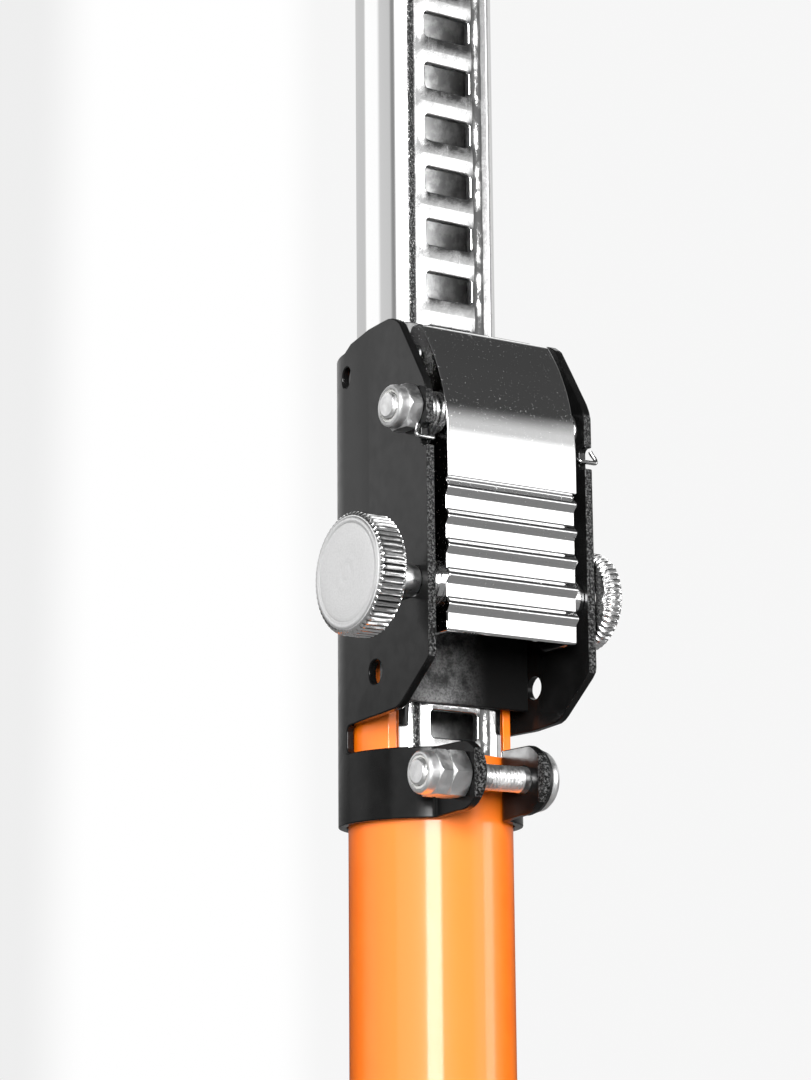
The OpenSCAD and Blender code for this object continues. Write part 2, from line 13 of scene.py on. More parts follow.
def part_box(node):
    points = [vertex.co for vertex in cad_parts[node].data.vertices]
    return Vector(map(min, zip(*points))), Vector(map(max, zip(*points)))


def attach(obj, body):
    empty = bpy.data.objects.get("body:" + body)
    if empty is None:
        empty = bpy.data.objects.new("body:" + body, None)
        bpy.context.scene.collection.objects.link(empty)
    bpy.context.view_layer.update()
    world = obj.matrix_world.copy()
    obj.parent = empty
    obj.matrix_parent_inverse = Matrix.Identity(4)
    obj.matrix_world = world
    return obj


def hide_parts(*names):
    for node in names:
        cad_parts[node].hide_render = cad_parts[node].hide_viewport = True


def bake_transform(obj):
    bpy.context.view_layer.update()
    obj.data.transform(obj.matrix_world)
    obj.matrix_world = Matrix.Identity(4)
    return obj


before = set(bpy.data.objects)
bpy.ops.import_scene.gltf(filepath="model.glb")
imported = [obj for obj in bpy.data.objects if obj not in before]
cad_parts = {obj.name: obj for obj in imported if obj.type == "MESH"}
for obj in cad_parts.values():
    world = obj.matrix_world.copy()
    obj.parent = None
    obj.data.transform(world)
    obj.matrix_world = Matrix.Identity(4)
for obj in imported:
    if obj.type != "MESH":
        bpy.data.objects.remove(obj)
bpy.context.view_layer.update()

MM = 0.001


def low(node):
    """Lowest corner of a CAD node in millimetres."""
    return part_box(node)[0] / MM


def high(node):
    """Highest corner of a CAD node in millimetres."""
    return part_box(node)[1] / MM


def middle(node):
    return (low(node) + high(node)) / 2


def half_height(node):
    return (high(node).z - low(node).z) / 2


# ---- places and sizes, from the frame where it has them ----

LOCK = high("lock_housing").z + 2.0  # the cheeks' top edge lies 2 mm below the lock's datum
GRIP_WALL = 3.2
WIDE = 30  # half the length of a cutter that passes right through
TUBE_R = high("hand_grip").x - GRIP_WALL
TUBE_TOP = high("outer_tube").z - LOCK
POLE_R = high("inner_pole").y
POLE_FLAT = low("inner_pole").y
POLE_BOTTOM = low("inner_pole").z - LOCK
POLE_TOP = high("inner_pole").z - LOCK
PIVOT = Vector((0, middle("pivot_nut").y, middle("pivot_nut").z - LOCK))
SCREW = Vector((0, middle("lock_screw").y, middle("lock_screw").z - LOCK))
CLAMP = Vector((0, middle("clamp_nut").y, middle("clamp_nut").z - LOCK))
CHEEK_OUT = high("lock_housing").x
SHEET = 2.0
CHEEK_IN = CHEEK_OUT - SHEET
BAND_R = TUBE_R + 0.3  # inside of the housing's round back and of its clamp band
LEVER_HALF = high("latch_lever").x
BOLT_R = 3.0
SPRING_WIRE = 1.0
SPRING_HOOK = (-32.4, -32.8)
SPRING_LEG = (-24.0, -33.5)
POLE_WALL = 1.8
SLOT_PITCH = 13.056
SLOT_TOP = 118.818
SLOT_COUNT = 53
SLOT_H = 6.3
SLOT_HALF = 6.44
SLOT_CORNER = 1.0


# ---- meshes ----


def add_object(name, data):
    obj = bpy.data.objects.new(name, data)
    bpy.context.scene.collection.objects.link(obj)
    return obj


def new_object(name, verts, faces, base=None):
    """A mesh from points in millimetres, with heights counted from base, which is the lock by default."""
    lift = LOCK if base is None else base
    mesh = bpy.data.meshes.new(name)
    mesh.from_pydata([(x * MM, y * MM, (z + lift) * MM) for x, y, z in verts], [], faces)
    mesh.update()
    return add_object(name, mesh)


def place(axis, along, u, v):
    """A point along an axis: (u, v) is (y, z) for x, (x, z) for y and (x, y) for z."""
    if axis == "x":
        return (along, u, v)
    if axis == "y":
        return (u, along, v)
    return (u, v, along)


def recalculate(obj):
    bm = bmesh.new()
    bm.from_mesh(obj.data)
    bmesh.ops.recalc_face_normals(bm, faces=bm.faces)
    bm.to_mesh(obj.data)
    bm.free()
    return obj


def prism(axis, outline, start, end, base=None):
    """A closed outline extruded along an axis."""
    count = len(outline)
    verts = [place(axis, along, u, v) for along in (start, end) for u, v in outline]
    faces = [tuple(range(count)), tuple(range(2 * count - 1, count - 1, -1))]
    faces += [(i, (i + 1) % count, (i + 1) % count + count, i + count) for i in range(count)]
    return recalculate(new_object("shape", verts, faces, base))


def ring_mesh(name, verts, samples, ring=False, base=None):
    """A surface through rings of points; its ends are closed, unless the last ring joins the first."""
    count = len(verts) // samples
    faces = []
    for i in range(count if ring else count - 1):
        j = (i + 1) % count
        for k in range(samples):
            n = (k + 1) % samples
            faces.append((i * samples + k, i * samples + n, j * samples + n, j * samples + k))
    if not ring:
        faces += [tuple(range(samples)), tuple(range((count - 1) * samples, count * samples))]
    return recalculate(new_object(name, verts, faces, base))


def turned(axis, centre, stations, samples, radius=None, ring=False, base=None):
    """A surface of revolution through (along, radius) stations.

    radius(angle, along, r) may change the radius round the axis. With ring=True the last station
    joins the first, which leaves a bore; otherwise both ends are closed.
    """
    verts = []
    for along, r in stations:
        for k in range(samples):
            angle = 2 * pi * k / samples
            here = radius(angle, along, r) if radius else r
            u, v = centre[0] + here * cos(angle), centre[1] + here * sin(angle)
            verts.append(place(axis, along, u, v))
    return ring_mesh("shape", verts, samples, ring, base)


def tube_along(path, radius, sides):
    """A round wire along a path of points."""
    points = [Vector(p) for p in path]
    last = len(points) - 1
    verts = []
    side = None
    for i, point in enumerate(points):
        ahead = (points[min(i + 1, last)] - points[max(i - 1, 0)]).normalized()
        if side is None:
            side = ahead.orthogonal().normalized()
        side = (side - ahead * side.dot(ahead)).normalized()
        up = ahead.cross(side)
        for k in range(sides):
            angle = 2 * pi * k / sides
            verts.append(point + radius * (cos(angle) * side + sin(angle) * up))
    return ring_mesh("wire", verts, sides)


def arc(centre, r, start, end, steps):
    """Points on an arc, with angles in degrees."""
    return [
        (
            centre[0] + r * cos(radians(start + (end - start) * i / steps)),
            centre[1] + r * sin(radians(start + (end - start) * i / steps)),
        )
        for i in range(steps + 1)
    ]


def disc(u, v, r, steps=64):
    return arc((u, v), r, 0, 360 * (steps - 1) / steps, steps - 1)


def rounded_box(u0, v0, u1, v1, r, steps=6):
    """A rectangle's outline with round corners."""
    corners = [(u1 - r, v0 + r, -90), (u1 - r, v1 - r, 0), (u0 + r, v1 - r, 90), (u0 + r, v0 + r, 180)]
    return [p for u, v, a in corners for p in arc((u, v), r, a, a + 90, steps)]


def join(objects):
    """Several meshes as one, where the first one stays."""
    bm = bmesh.new()
    for obj in objects:
        bm.from_mesh(obj.data)
    bm.to_mesh(objects[0].data)
    bm.free()
    for obj in objects[1:]:
        bpy.data.objects.remove(obj)
    return objects[0]


def combine(obj, others, operation):
    """Boolean of a mesh with others: DIFFERENCE, UNION or INTERSECT."""
    for other in others:
        modifier = obj.modifiers.new("boolean", "BOOLEAN")
        modifier.operation = operation
        modifier.solver = "EXACT"
        modifier.object = other
        apply_modifiers(obj)
        bpy.data.objects.remove(other)
    return obj


def cut(obj, *others):
    return combine(obj, [join(list(others))], "DIFFERENCE")


def apply_modifiers(obj):
    graph = bpy.context.evaluated_depsgraph_get()
    mesh = bpy.data.meshes.new_from_object(obj.evaluated_get(graph))
    obj.modifiers.clear()
    obj.data = mesh
    return obj


def clean(obj, flat_angle, source=None):
    """Merges doubled points and flat neighbours of a mesh or its source, so a bevel finds clean edges."""
    bm = bmesh.new()
    bm.from_mesh(source or obj.data)
    bmesh.ops.remove_doubles(bm, verts=bm.verts, dist=2e-6)
    bmesh.ops.dissolve_limit(
        bm, angle_limit=radians(flat_angle), verts=bm.verts, edges=bm.edges,
        use_dissolve_boundaries=False,
    )
    bm.to_mesh(obj.data)
    bm.free()
    return obj


def from_cad(node_name):
    """A copy of a CAD node's mesh, cleaned for a bevel."""
    obj = add_object(node_name, bpy.data.meshes.new(node_name))
    return clean(obj, 1.0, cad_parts[node_name].data)


def smooth(obj, angle=32):
    for polygon in obj.data.polygons:
        polygon.use_smooth = True
    obj.data.set_sharp_from_angle(angle=radians(angle))


def bevel(obj, width, segments=2, angle=32, clamp=False):
    modifier = obj.modifiers.new("edges", "BEVEL")
    modifier.width = width * MM
    modifier.segments = segments
    modifier.limit_method = "ANGLE"
    modifier.angle_limit = radians(angle)
    modifier.use_clamp_overlap = clamp
    modifier.miter_outer = "MITER_ARC"
    weighted = obj.modifiers.new("flat faces", "WEIGHTED_NORMAL")
    weighted.keep_sharp = True
    return obj


def piece(obj, name, body, material, node_name=None, edge=0.0, segments=2, angle=32, clamp=False):
    """Names a finished shape, rounds its edges, ties it to its body, and hides the CAD node that it stands in
    for.
    """
    obj.name = name
    obj.data.name = name
    smooth(obj, angle)
    if edge:
        bevel(obj, edge, segments, angle, clamp)
    obj.data.materials.clear()
    obj.data.materials.append(MATERIALS[material])
    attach(obj, body)
    if node_name:
        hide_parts(node_name)
    return obj


def cad_piece(node_name, name, body, material, edge, segments=2, angle=32):
    """A CAD node's own shape with rounded edges."""
    return piece(from_cad(node_name), name, body, material, node_name, edge, segments, angle)


# ---- materials ----

PAINTED_SHEEN_SIDE = (-0.56, -0.83, 0.0)  # the level direction, towards the camera, in which the orange is painted palest: a painted sheen


def new_material(name, **sockets):
    """A Principled material, with its plain values set on the shader's own sockets."""
    material = bpy.data.materials.new(name)
    material.use_nodes = True
    shader = material.node_tree.nodes["Principled BSDF"]
    for socket, value in sockets.items():
        shader.inputs[socket.replace("_", " ")].default_value = value
    return material, material.node_tree, shader


def feed(shader, **sockets):
    """Links values made by nodes to the shader's sockets."""
    for socket, value in sockets.items():
        shader.id_data.links.new(value, shader.inputs[socket.replace("_", " ")])


def node(tree, kind, inputs=None, **settings):
    made = tree.nodes.new("ShaderNode" + kind)
    for key, value in settings.items():
        setattr(made, key, value)
    for key, value in (inputs or {}).items():
        if isinstance(value, bpy.types.NodeSocket):
            tree.links.new(value, made.inputs[key])
        else:
            made.inputs[key].default_value = value
    return made


def position(tree, scale=(1, 1, 1)):
    """The surface's place in millimetres, at rest, stretched by a scale."""
    coordinates = node(tree, "TexCoord").outputs["Object"]
    factors = [s / MM for s in scale]
    return node(tree, "Mapping", {"Vector": coordinates, "Scale": factors}).outputs["Vector"]


def axes(tree):
    """The surface's x, y and z in millimetres, as three values."""
    return node(tree, "SeparateXYZ", {0: position(tree)}).outputs


def speckle(tree, size, scale=(1, 1, 1), detail=4.0, rough=0.55):
    """Noise whose grains are about size millimetres across."""
    made = node(
        tree, "TexNoise",
        {"Vector": position(tree, scale), "Scale": 1 / size, "Detail": detail, "Roughness": rough},
    )
    return made.outputs["Fac"]


def levels(tree, value, start, end, low_value=0.0, high_value=1.0, ease="SMOOTHSTEP"):
    """Goes from low_value to high_value while a value goes from start to end."""
    made = node(
        tree, "MapRange",
        {"Value": value, "From Min": start, "From Max": end, "To Min": low_value, "To Max": high_value},
        interpolation_type=ease,
    )
    return made.outputs["Result"]


def math_node(tree, operation, first, *others):
    """One operation, taken over all its values from left to right."""
    for other in others or (0.0,):
        first = node(tree, "Math", {0: first, 1: other}, operation=operation).outputs[0]
    return first


def times(tree, *values):
    return math_node(tree, "MULTIPLY", *values)


def plus(tree, *values):
    return math_node(tree, "ADD", *values)


def minus(tree, *values):
    return math_node(tree, "SUBTRACT", *values)


def hypotenuse(tree, first, second):
    return math_node(tree, "SQRT", plus(tree, times(tree, first, first), times(tree, second, second)))


def mix_colour(tree, factor, first, second):
    """Mixes two colours, where a plain number is a grey."""
    first, second = (grey(c) if isinstance(c, float) else c for c in (first, second))
    return node(tree, "Mix", {0: factor, 6: first, 7: second}, data_type="RGBA").outputs[2]


def bump(tree, shader, layers):
    """Stacks bumps of (height, depth in millimetres) and feeds them to the shader."""
    normal = None
    for height, depth in layers:
        made = node(tree, "Bump", {"Height": height, "Strength": 1.0, "Distance": depth * MM})
        if normal:
            tree.links.new(normal, made.inputs["Normal"])
        normal = made.outputs["Normal"]
    feed(shader, Normal=normal)
    return normal


def grey(value):
    return (value, value, value, 1.0)


def orange_paint():
    """Glossy orange paint, painted paler along its front left side, which faces the camera: a painted sheen.
    """
    material, tree, shader = new_material(
        "orange_paint", Coat_Weight=0.42, Coat_Roughness=0.06, Specular_IOR_Level=0.18
    )
    tint = levels(tree, speckle(tree, 9.0), 0.35, 0.7)
    rich = mix_colour(tree, tint, (1.0, 0.18, 0.002, 1), (1.0, 0.2, 0.004, 1))
    # painted sheen: the orange is mixed towards a paler orange on the side that faces the camera
    facing = node(tree, "VectorMath", {0: position(tree), 1: PAINTED_SHEEN_SIDE}, operation="DOT_PRODUCT")
    painted_sheen = levels(tree, facing.outputs["Value"], 0.42 * TUBE_R, 0.9 * TUBE_R)
    scratches = levels(tree, speckle(tree, 0.5, (1, 1, 0.03), 2.0), 0.66, 0.72)
    peel = speckle(tree, 1.1, detail=2.0)
    rough = levels(tree, speckle(tree, 4.0), 0.3, 0.7, 0.36, 0.46)
    feed(
        shader, Base_Color=mix_colour(tree, painted_sheen, rich, (1.0, 0.235, 0.04, 1)),
        Roughness=plus(tree, rough, times(tree, scratches, 0.12)),
        Coat_Normal=bump(tree, shader, [(peel, 0.004), (scratches, 0.002)]),
    )
    return material


def black_paint(name, base, roughness, peel_depth=0.012, raw_front=None):
    """Black powder coat: a fine orange peel, faint cloudy wear and a few pale specks.

    With raw_front the paint is the lock housing's: duller towards its clamp band, and dull, pitted and
    speckled along the sheet's cut edge, in front of raw_front in millimetres along y.
    """
    material, tree, shader = new_material(name, Specular_IOR_Level=0.55)
    cloud = levels(tree, speckle(tree, 7.0, detail=5.0), 0.35, 0.75)
    specks = levels(tree, speckle(tree, 0.42, detail=3.0), 0.74, 0.8)
    colour = mix_colour(tree, cloud, base, base * 1.9)
    colour = mix_colour(tree, times(tree, specks, 0.6), colour, 0.05)
    rough = levels(tree, speckle(tree, 3.0), 0.3, 0.7, roughness - 0.04, roughness + 0.07)
    layers = [(speckle(tree, 0.9, detail=3.0), peel_depth), (specks, 0.01)]
    if raw_front is not None:
        _, y, z = axes(tree)
        raw = levels(tree, y, raw_front + 0.15, raw_front)
        pits = speckle(tree, 0.55, detail=5.0, rough=0.75)
        flecks = times(tree, raw, levels(tree, pits, 0.46, 0.62))
        colour = mix_colour(tree, flecks, colour, 0.15)
        rough = plus(tree, rough, times(tree, raw, 0.3))
        layers.append((times(tree, raw, pits), 0.16))
        shine = levels(tree, z, LOCK - 100, LOCK - 45, 0.45, 1.0)
        feed(shader, Specular_IOR_Level=times(tree, shine, levels(tree, raw, 0, 1, 0.36, 0.08)))
    feed(shader, Base_Color=colour, Roughness=rough)
    bump(tree, shader, layers)
    return material


def black_with_painted_light():
    """Rough black plate, with a mottled grey painted on its left as painted light."""
    material, tree, shader = new_material("black_with_painted_light")
    # painted light: the left of the plate is painted a mottled grey, and its right stays black and less
    # glossy
    painted_light_side = levels(tree, axes(tree)[0], 8.0, -8.0)
    mottle = times(tree, levels(tree, speckle(tree, 5.0, detail=6.0, rough=0.7), 0.3, 0.6), painted_light_side)
    grain = speckle(tree, 0.5, detail=5.0)
    painted_light = times(tree, mottle, levels(tree, grain, 0.3, 0.6, 0.3, 1.0))
    feed(
        shader, Base_Color=mix_colour(tree, painted_light, 0.006, 0.2),
        Specular_IOR_Level=levels(tree, painted_light_side, 0, 1, 0.06, 0.45),
        Roughness=levels(tree, grain, 0.3, 0.7, 0.38, 0.6),
    )
    bump(tree, shader, [(grain, 0.03), (mottle, 0.02)])
    return material


def plated(name, base, roughness, streaks=(1, 1, 1), depth=0.004):
    """Bright plated steel with patches, tiny pits and fine marks, which streaks can draw out."""
    material, tree, shader = new_material(name, Metallic=1.0)
    patch = levels(tree, speckle(tree, 2.6, detail=5.0), 0.3, 0.72)
    pits = levels(tree, speckle(tree, 0.3, detail=3.0), 0.66, 0.74)
    colour = mix_colour(tree, patch, base, base * 0.86)
    colour = mix_colour(tree, times(tree, pits, 0.5), colour, base * 0.45)
    marks = speckle(tree, 0.35, streaks, 3.0)
    rough = levels(tree, patch, 0, 1, roughness * 0.75, roughness * 1.25)
    rough = plus(tree, rough, levels(tree, marks, 0.35, 0.7, 0.0, 0.08))
    feed(shader, Base_Color=colour, Roughness=rough)
    bump(tree, shader, [(marks, depth), (pits, depth * 1.5)])
    return material


def knurled_steel(name, node_name, groove_shade):
    """Bright ridges round the lock screw's axis, with painted shade darkening the grooves between them."""
    material, tree, shader = new_material(name, Metallic=1.0)
    r, x0 = half_height(node_name), low(node_name).x
    x, y, z = axes(tree)
    out = hypotenuse(tree, minus(tree, y, SCREW.y), minus(tree, z, SCREW.z + LOCK))
    # painted shade: the bottoms of the grooves between the ridges are painted dark, and made rougher
    painted_groove_shade = times(
        tree, levels(tree, out, r - 0.3, r - 0.65), levels(tree, x, x0 + 0.7, x0 + 1.3),
        levels(tree, out, r - 1.6, r - 1.2),
    )
    patch = levels(tree, speckle(tree, 1.2, detail=5.0), 0.3, 0.72)
    colour = mix_colour(tree, patch, 0.92, 0.8)
    feed(
        shader, Base_Color=mix_colour(tree, painted_groove_shade, colour, groove_shade),
        Roughness=levels(tree, painted_groove_shade, 0, 1, 0.17, 0.5),
    )
    bump(tree, shader, [(speckle(tree, 0.35, detail=3.0), 0.008)])
    return material


def lever_steel():
    """Polished steel: fine pits and specks, with drawn lines up and down that are barely seen."""
    material, tree, shader = new_material("lever_steel", Metallic=1.0)
    specks = levels(tree, speckle(tree, 0.55, detail=5.0, rough=0.7), 0.62, 0.7)
    haze = levels(tree, speckle(tree, 5.0, detail=6.0), 0.4, 0.75)
    drawn = speckle(tree, 0.3, (1, 1, 0.05), 2.0)
    feed(
        shader, Base_Color=mix_colour(tree, specks, 0.93, 0.8),
        Roughness=plus(tree, levels(tree, haze, 0, 1, 0.06, 0.085), times(tree, specks, 0.35)),
    )
    bump(tree, shader, [(drawn, 0.0004), (specks, 0.012)])
    return material


def pole_steel():
    """Polished pole: drawn lines along it, sunk rims round the slots, and a dull unpolished inside."""
    material, tree, shader = new_material("pole_steel", Metallic=1.0)
    x, y, z = axes(tree)
    across = math_node(tree, "ABSOLUTE", x)
    front = levels(tree, y, -8.6, -9.4)
    flat = times(tree, front, levels(tree, across, 12.6, 11.0))
    left_step = times(tree, front, levels(tree, x, -12.5, -11.9), levels(tree, x, -8.9, -9.9))

    # distance from the box through the corner centres of the nearest slot
    up = math_node(tree, "PINGPONG", minus(tree, z, LOCK + SLOT_TOP - SLOT_H / 2), SLOT_PITCH / 2)
    past_side = math_node(tree, "MAXIMUM", minus(tree, across, SLOT_HALF - SLOT_CORNER), 0.0)
    past_end = math_node(tree, "MAXIMUM", minus(tree, up, SLOT_H / 2 - SLOT_CORNER), 0.0)
    sunk = levels(tree, hypotenuse(tree, past_side, past_end), 5.0, 0.9, 0.0, 1.0, "LINEAR")
    rim = minus(tree, 1.0, times(tree, sunk, sunk))

    # painted shade: along the left step of the sunk strip the steel is painted nearly black in a grainy band,
    # which is also rougher and bumped
    step_shade_grain = levels(tree, speckle(tree, 0.5, detail=5.0, rough=0.75), 0.3, 0.5)
    frost = levels(tree, speckle(tree, 3.4, (1, 1, 0.75), 6.0, 0.65), 0.42, 0.62)
    drawn = speckle(tree, 0.28, (1, 1, 0.01), 3.0)
    dark = times(tree, left_step, step_shade_grain)
    frosted = times(tree, flat, frost)
    inside = times(
        tree, levels(tree, hypotenuse(tree, x, y), POLE_R - 0.7, POLE_R - 0.9),
        levels(tree, y, POLE_FLAT + 1.0, POLE_FLAT + 1.4),
    )
    colour = mix_colour(tree, times(tree, frosted, 0.6), 0.9, 0.55)
    colour = mix_colour(tree, dark, colour, 0.02)
    colour = mix_colour(tree, inside, colour, mix_colour(tree, frost, 0.3, 0.5))
    rough = plus(
        tree, levels(tree, drawn, 0.3, 0.7, 0.045, 0.08), times(tree, frosted, 0.2), times(tree, dark, 0.3),
        times(tree, inside, 0.35),
    )
    feed(shader, Base_Color=colour, Roughness=rough)
    bump(tree, shader, [
        (drawn, 0.0008), (times(tree, flat, rim), 0.36),
        (times(tree, flat, speckle(tree, 2.4, (1, 1, 0.8), 3.0)), 0.05), (dark, 0.03),
    ])
    return material


def turned_face():
    """The knob's lathe-turned end face, with faint rings round the lock screw's axis."""
    material, tree, shader = new_material("knob_face", Metallic=1.0)
    from_axis = node(tree, "Mapping", {
        "Vector": node(tree, "TexCoord").outputs["Object"],
        "Location": (0, -SCREW.y, -(SCREW.z + LOCK)), "Scale": (0, 1 / MM, 1 / MM),
    })
    rings = node(
        tree, "TexWave",
        {"Vector": from_axis.outputs[0], "Scale": 0.55, "Distortion": 0.7, "Detail": 3, "Detail Scale": 0.6},
        wave_type="RINGS", rings_direction="SPHERICAL",
    ).outputs["Fac"]
    cloud = speckle(tree, 0.6, detail=6.0, rough=0.7)
    pits = levels(tree, speckle(tree, 0.4, detail=3.0), 0.62, 0.72)
    feed(
        shader, Roughness=levels(tree, cloud, 0.3, 0.7, 0.37, 0.52),
        Base_Color=mix_colour(tree, levels(tree, cloud, 0.3, 0.7), 0.98, 0.911),
    )
    bump(tree, shader, [(rings, 0.005), (cloud, 0.003), (pits, 0.008)])
    return material


def plastic(name, colour, roughness, grain=0.6, depth=0.02):
    material, tree, shader = new_material(name, Specular_IOR_Level=0.45)
    cloud = levels(tree, speckle(tree, 6.0), 0.35, 0.7)
    darker = tuple(c * 0.8 for c in colour[:3]) + (1.0,)
    texture = speckle(tree, grain, detail=3.0)
    feed(
        shader, Base_Color=mix_colour(tree, cloud, colour, darker),
        Roughness=levels(tree, texture, 0.3, 0.7, roughness - 0.06, roughness + 0.08),
    )
    bump(tree, shader, [(texture, depth)])
    return material


def rubber():
    """Grip rubber: a pebbled skin with dust in its hollows."""
    material, tree, shader = new_material("rubber", Specular_IOR_Level=0.35)
    cells = node(
        tree, "TexVoronoi", {"Vector": position(tree), "Scale": 1 / 1.3, "Randomness": 0.8}, feature="F1"
    ).outputs["Distance"]
    dust = levels(tree, speckle(tree, 8.0, detail=5.0), 0.45, 0.75)
    colour = mix_colour(tree, levels(tree, cells, 0.2, 0.7), 0.014, 0.03)
    feed(
        shader, Base_Color=mix_colour(tree, times(tree, dust, 0.3), colour, 0.07),
        Roughness=levels(tree, cells, 0.1, 0.7, 0.52, 0.72),
    )
    bump(tree, shader, [(levels(tree, cells, 0.1, 0.6, 1.0, 0.0), 0.12), (speckle(tree, 0.3), 0.01)])
    return material


def blade_steel():
    """Ground blade: fine scratches along it, and resin stains."""
    material, tree, shader = new_material("blade_steel", Metallic=1.0)
    drawn = speckle(tree, 0.3, (1, 1, 0.02), 4.0)
    stain = levels(tree, speckle(tree, 14.0, detail=6.0), 0.5, 0.75)
    feed(
        shader, Base_Color=mix_colour(tree, stain, 0.72, (0.5, 0.46, 0.4, 1)),
        Roughness=levels(tree, drawn, 0.3, 0.7, 0.18, 0.36),
    )
    bump(tree, shader, [(drawn, 0.006)])
    return material


MATERIALS = {
    "orange": orange_paint(),
    "housing": black_paint("housing_black", 0.0045, 0.19, raw_front=-33.35),
    "casting": black_paint("casting_black", 0.016, 0.42, 0.05),
    "washer": black_paint("washer_black", 0.01, 0.3, 0.004),
    "guide": black_with_painted_light(),
    "zinc": plated("zinc", 0.97, 0.38),
    "bright": plated("bright_shank", 0.9, 0.1, (0.05, 1, 1), 0.002),
    "knurl": knurled_steel("knurled_head", "lock_screw", 0.07),
    "nut_knurl": knurled_steel("knurled_nut", "lock_nut", 0.5),
    "spring": plated("spring_wire", 0.5, 0.24),
    "pawl": plated("pawl_steel", 0.55, 0.3),
    "ring": plated("ring_steel", 0.3, 0.35),
    "hub": plated("satin_hub", 0.95, 0.34, (0.05, 1, 1), 0.003),
    "face": turned_face(),
    "lever": lever_steel(),
    "pole": pole_steel(),
    "nylon": plastic("nylon", (0.62, 0.62, 0.6, 1), 0.4, 0.5, 0.01),
    "cap": plastic("cap_plastic", (0.02, 0.02, 0.021, 1), 0.45, 0.7, 0.03),
    "bush": plastic("bush_plastic", (0.03, 0.03, 0.03, 1), 0.4),
    "rubber": rubber(),
    "blade": blade_steel(),
}


# ---- handle ----


def outer_tube():
    wall = 2.0
    bottom = low("outer_tube").z - LOCK
    loop = [
        (bottom, TUBE_R), (TUBE_TOP - 0.3, TUBE_R), (TUBE_TOP, TUBE_R - 0.3),
        (TUBE_TOP, TUBE_R - wall + 0.3), (TUBE_TOP - 0.3, TUBE_R - wall), (bottom, TUBE_R - wall),
    ]
    tube = turned("z", (0, 0), loop, 192, ring=True)
    milled_y, milled_bottom = -8.3, -101
    front = [(-WIDE, -WIDE), (WIDE, -WIDE), (WIDE, milled_y), (-WIDE, milled_y)]
    cut(tube, prism("z", front, milled_bottom, 20))
    clean(tube, 0.05)
    piece(tube, "handle_tube", "handle", "orange", "outer_tube", 0.25)


def hand_grip():
    base = low("hand_grip").z
    top = high("hand_grip").z - base
    r = high("hand_grip").x
    bore, lip = TUBE_R + 0.05, 1.4
    margin, groove_pitch, groove_half, groove_depth = 15.0, 12.0, 1.15, 1.0
    round_edge = [(lip * sin(radians(a)), lip * cos(radians(a))) for a in (0, 30, 60, 90)]
    stations = [(0, bore)] + [(lip - c, r - lip + s) for s, c in round_edge]
    z = margin
    while z < top - margin + 1:
        for u in (-1, -0.8, -0.45, 0, 0.45, 0.8, 1):
            stations.append((z + groove_half * u, r - groove_depth * sqrt(1 - u * u)))
        z += groove_pitch
    stations += [(top - lip + s, r - lip + c) for s, c in round_edge] + [(top, bore)]
    grip = turned("z", (0, 0), stations, 128, ring=True, base=base)
    piece(grip, "grip", "handle", "rubber", "hand_grip")


def butt_cap():
    """A cap over the handle's foot, with a flat tang that has a hole to hang the saw by."""
    r, height = high("butt_cap").x, high("butt_cap").z
    plug_end, bore = height - 22, TUBE_R + 0.05
    tang_half, tang_top, hole_z, hole_r = 7.0, 22, 13, 4.0
    stations = [
        (0, r - 4.2), (0.35, r - 3.2), (1.2, r - 2.2), (4, r - 0.4), (5.5, r), (height - 0.8, r),
        (height, r - 0.8), (height, bore), (plug_end, bore), (plug_end, 2),
    ]
    cap = turned("z", (0, 0), stations, 128, base=0.0)
    sides = []
    for x in (-tang_half - 20, tang_half + 20):
        sides.append(prism("y", rounded_box(x - 20, -20, x + 20, tang_top, 3.0), -WIDE, WIDE, 0.0))
    cut(cap, *sides)
    cut(cap, turned("x", (0, hole_z), [(-WIDE, hole_r), (WIDE, hole_r)], 64, base=0.0))
    clean(cap, 0.05)
    piece(cap, "end_cap", "handle", "cap", "butt_cap", 0.5, 3, 40, True)


# ---- lock housing ----


def wrap_arc(r, start, end):
    """An arc in steps of two degrees, whose points lie on even angles except at its ends."""
    inner = range(2 * floor(start / 2) + 2, 2 * ceil(end / 2), 2)
    return [arc((0, 0), r, angle, angle, 1)[0] for angle in (start, *inner, end)]


def cheek_plan(r, half):
    """Plan of the bent sheet: a round back that opens into two parallel cheeks."""
    corner = Vector((CHEEK_OUT, -10.0)).length
    tilt = acos((BAND_R + SHEET) / corner) - atan2(10.0, CHEEK_OUT)
    bend_y = (r - half * cos(tilt)) / sin(tilt)
    back = wrap_arc(r, degrees(tilt), 180 - degrees(tilt))
    return [(half, -45), (half, bend_y)] + back + [(-half, bend_y), (-half, -45)]


BAND_TOP, BAND_BOTTOM = -99.8, -115.9


def cheek_side():
    """Side outline of the cheeks as (y, z), from the round top front corner down to the relief slot."""
    top = [(3.5, -4.8), (0, -3.4), (-16, -2.1), (-18.1, -2), (-19.6, -2.25), (-20.9, -2.7), (-22.1, -3.5)]
    front = [(-23, -4.2), (-26.9, -10.4), (-32.2, -19.0), (-33.0, -20.8), (-33.5, -22.8), (-33.7, -81)]
    foot = [(-33.4, -82.4), (-32.5, -83.4), (-23, -91), (-21.8, -91.8), (-20.2, -92.4), (-11.7, -93.1)]
    relief = [(1.4, -93.4)] + arc((1.4, -94.9), 1.5, 90, 0, 5) + arc((1.4, -98.3), 1.5, 0, -90, 5)
    return [(27, -5)] + top + front + foot + relief + [(27, BAND_TOP)]


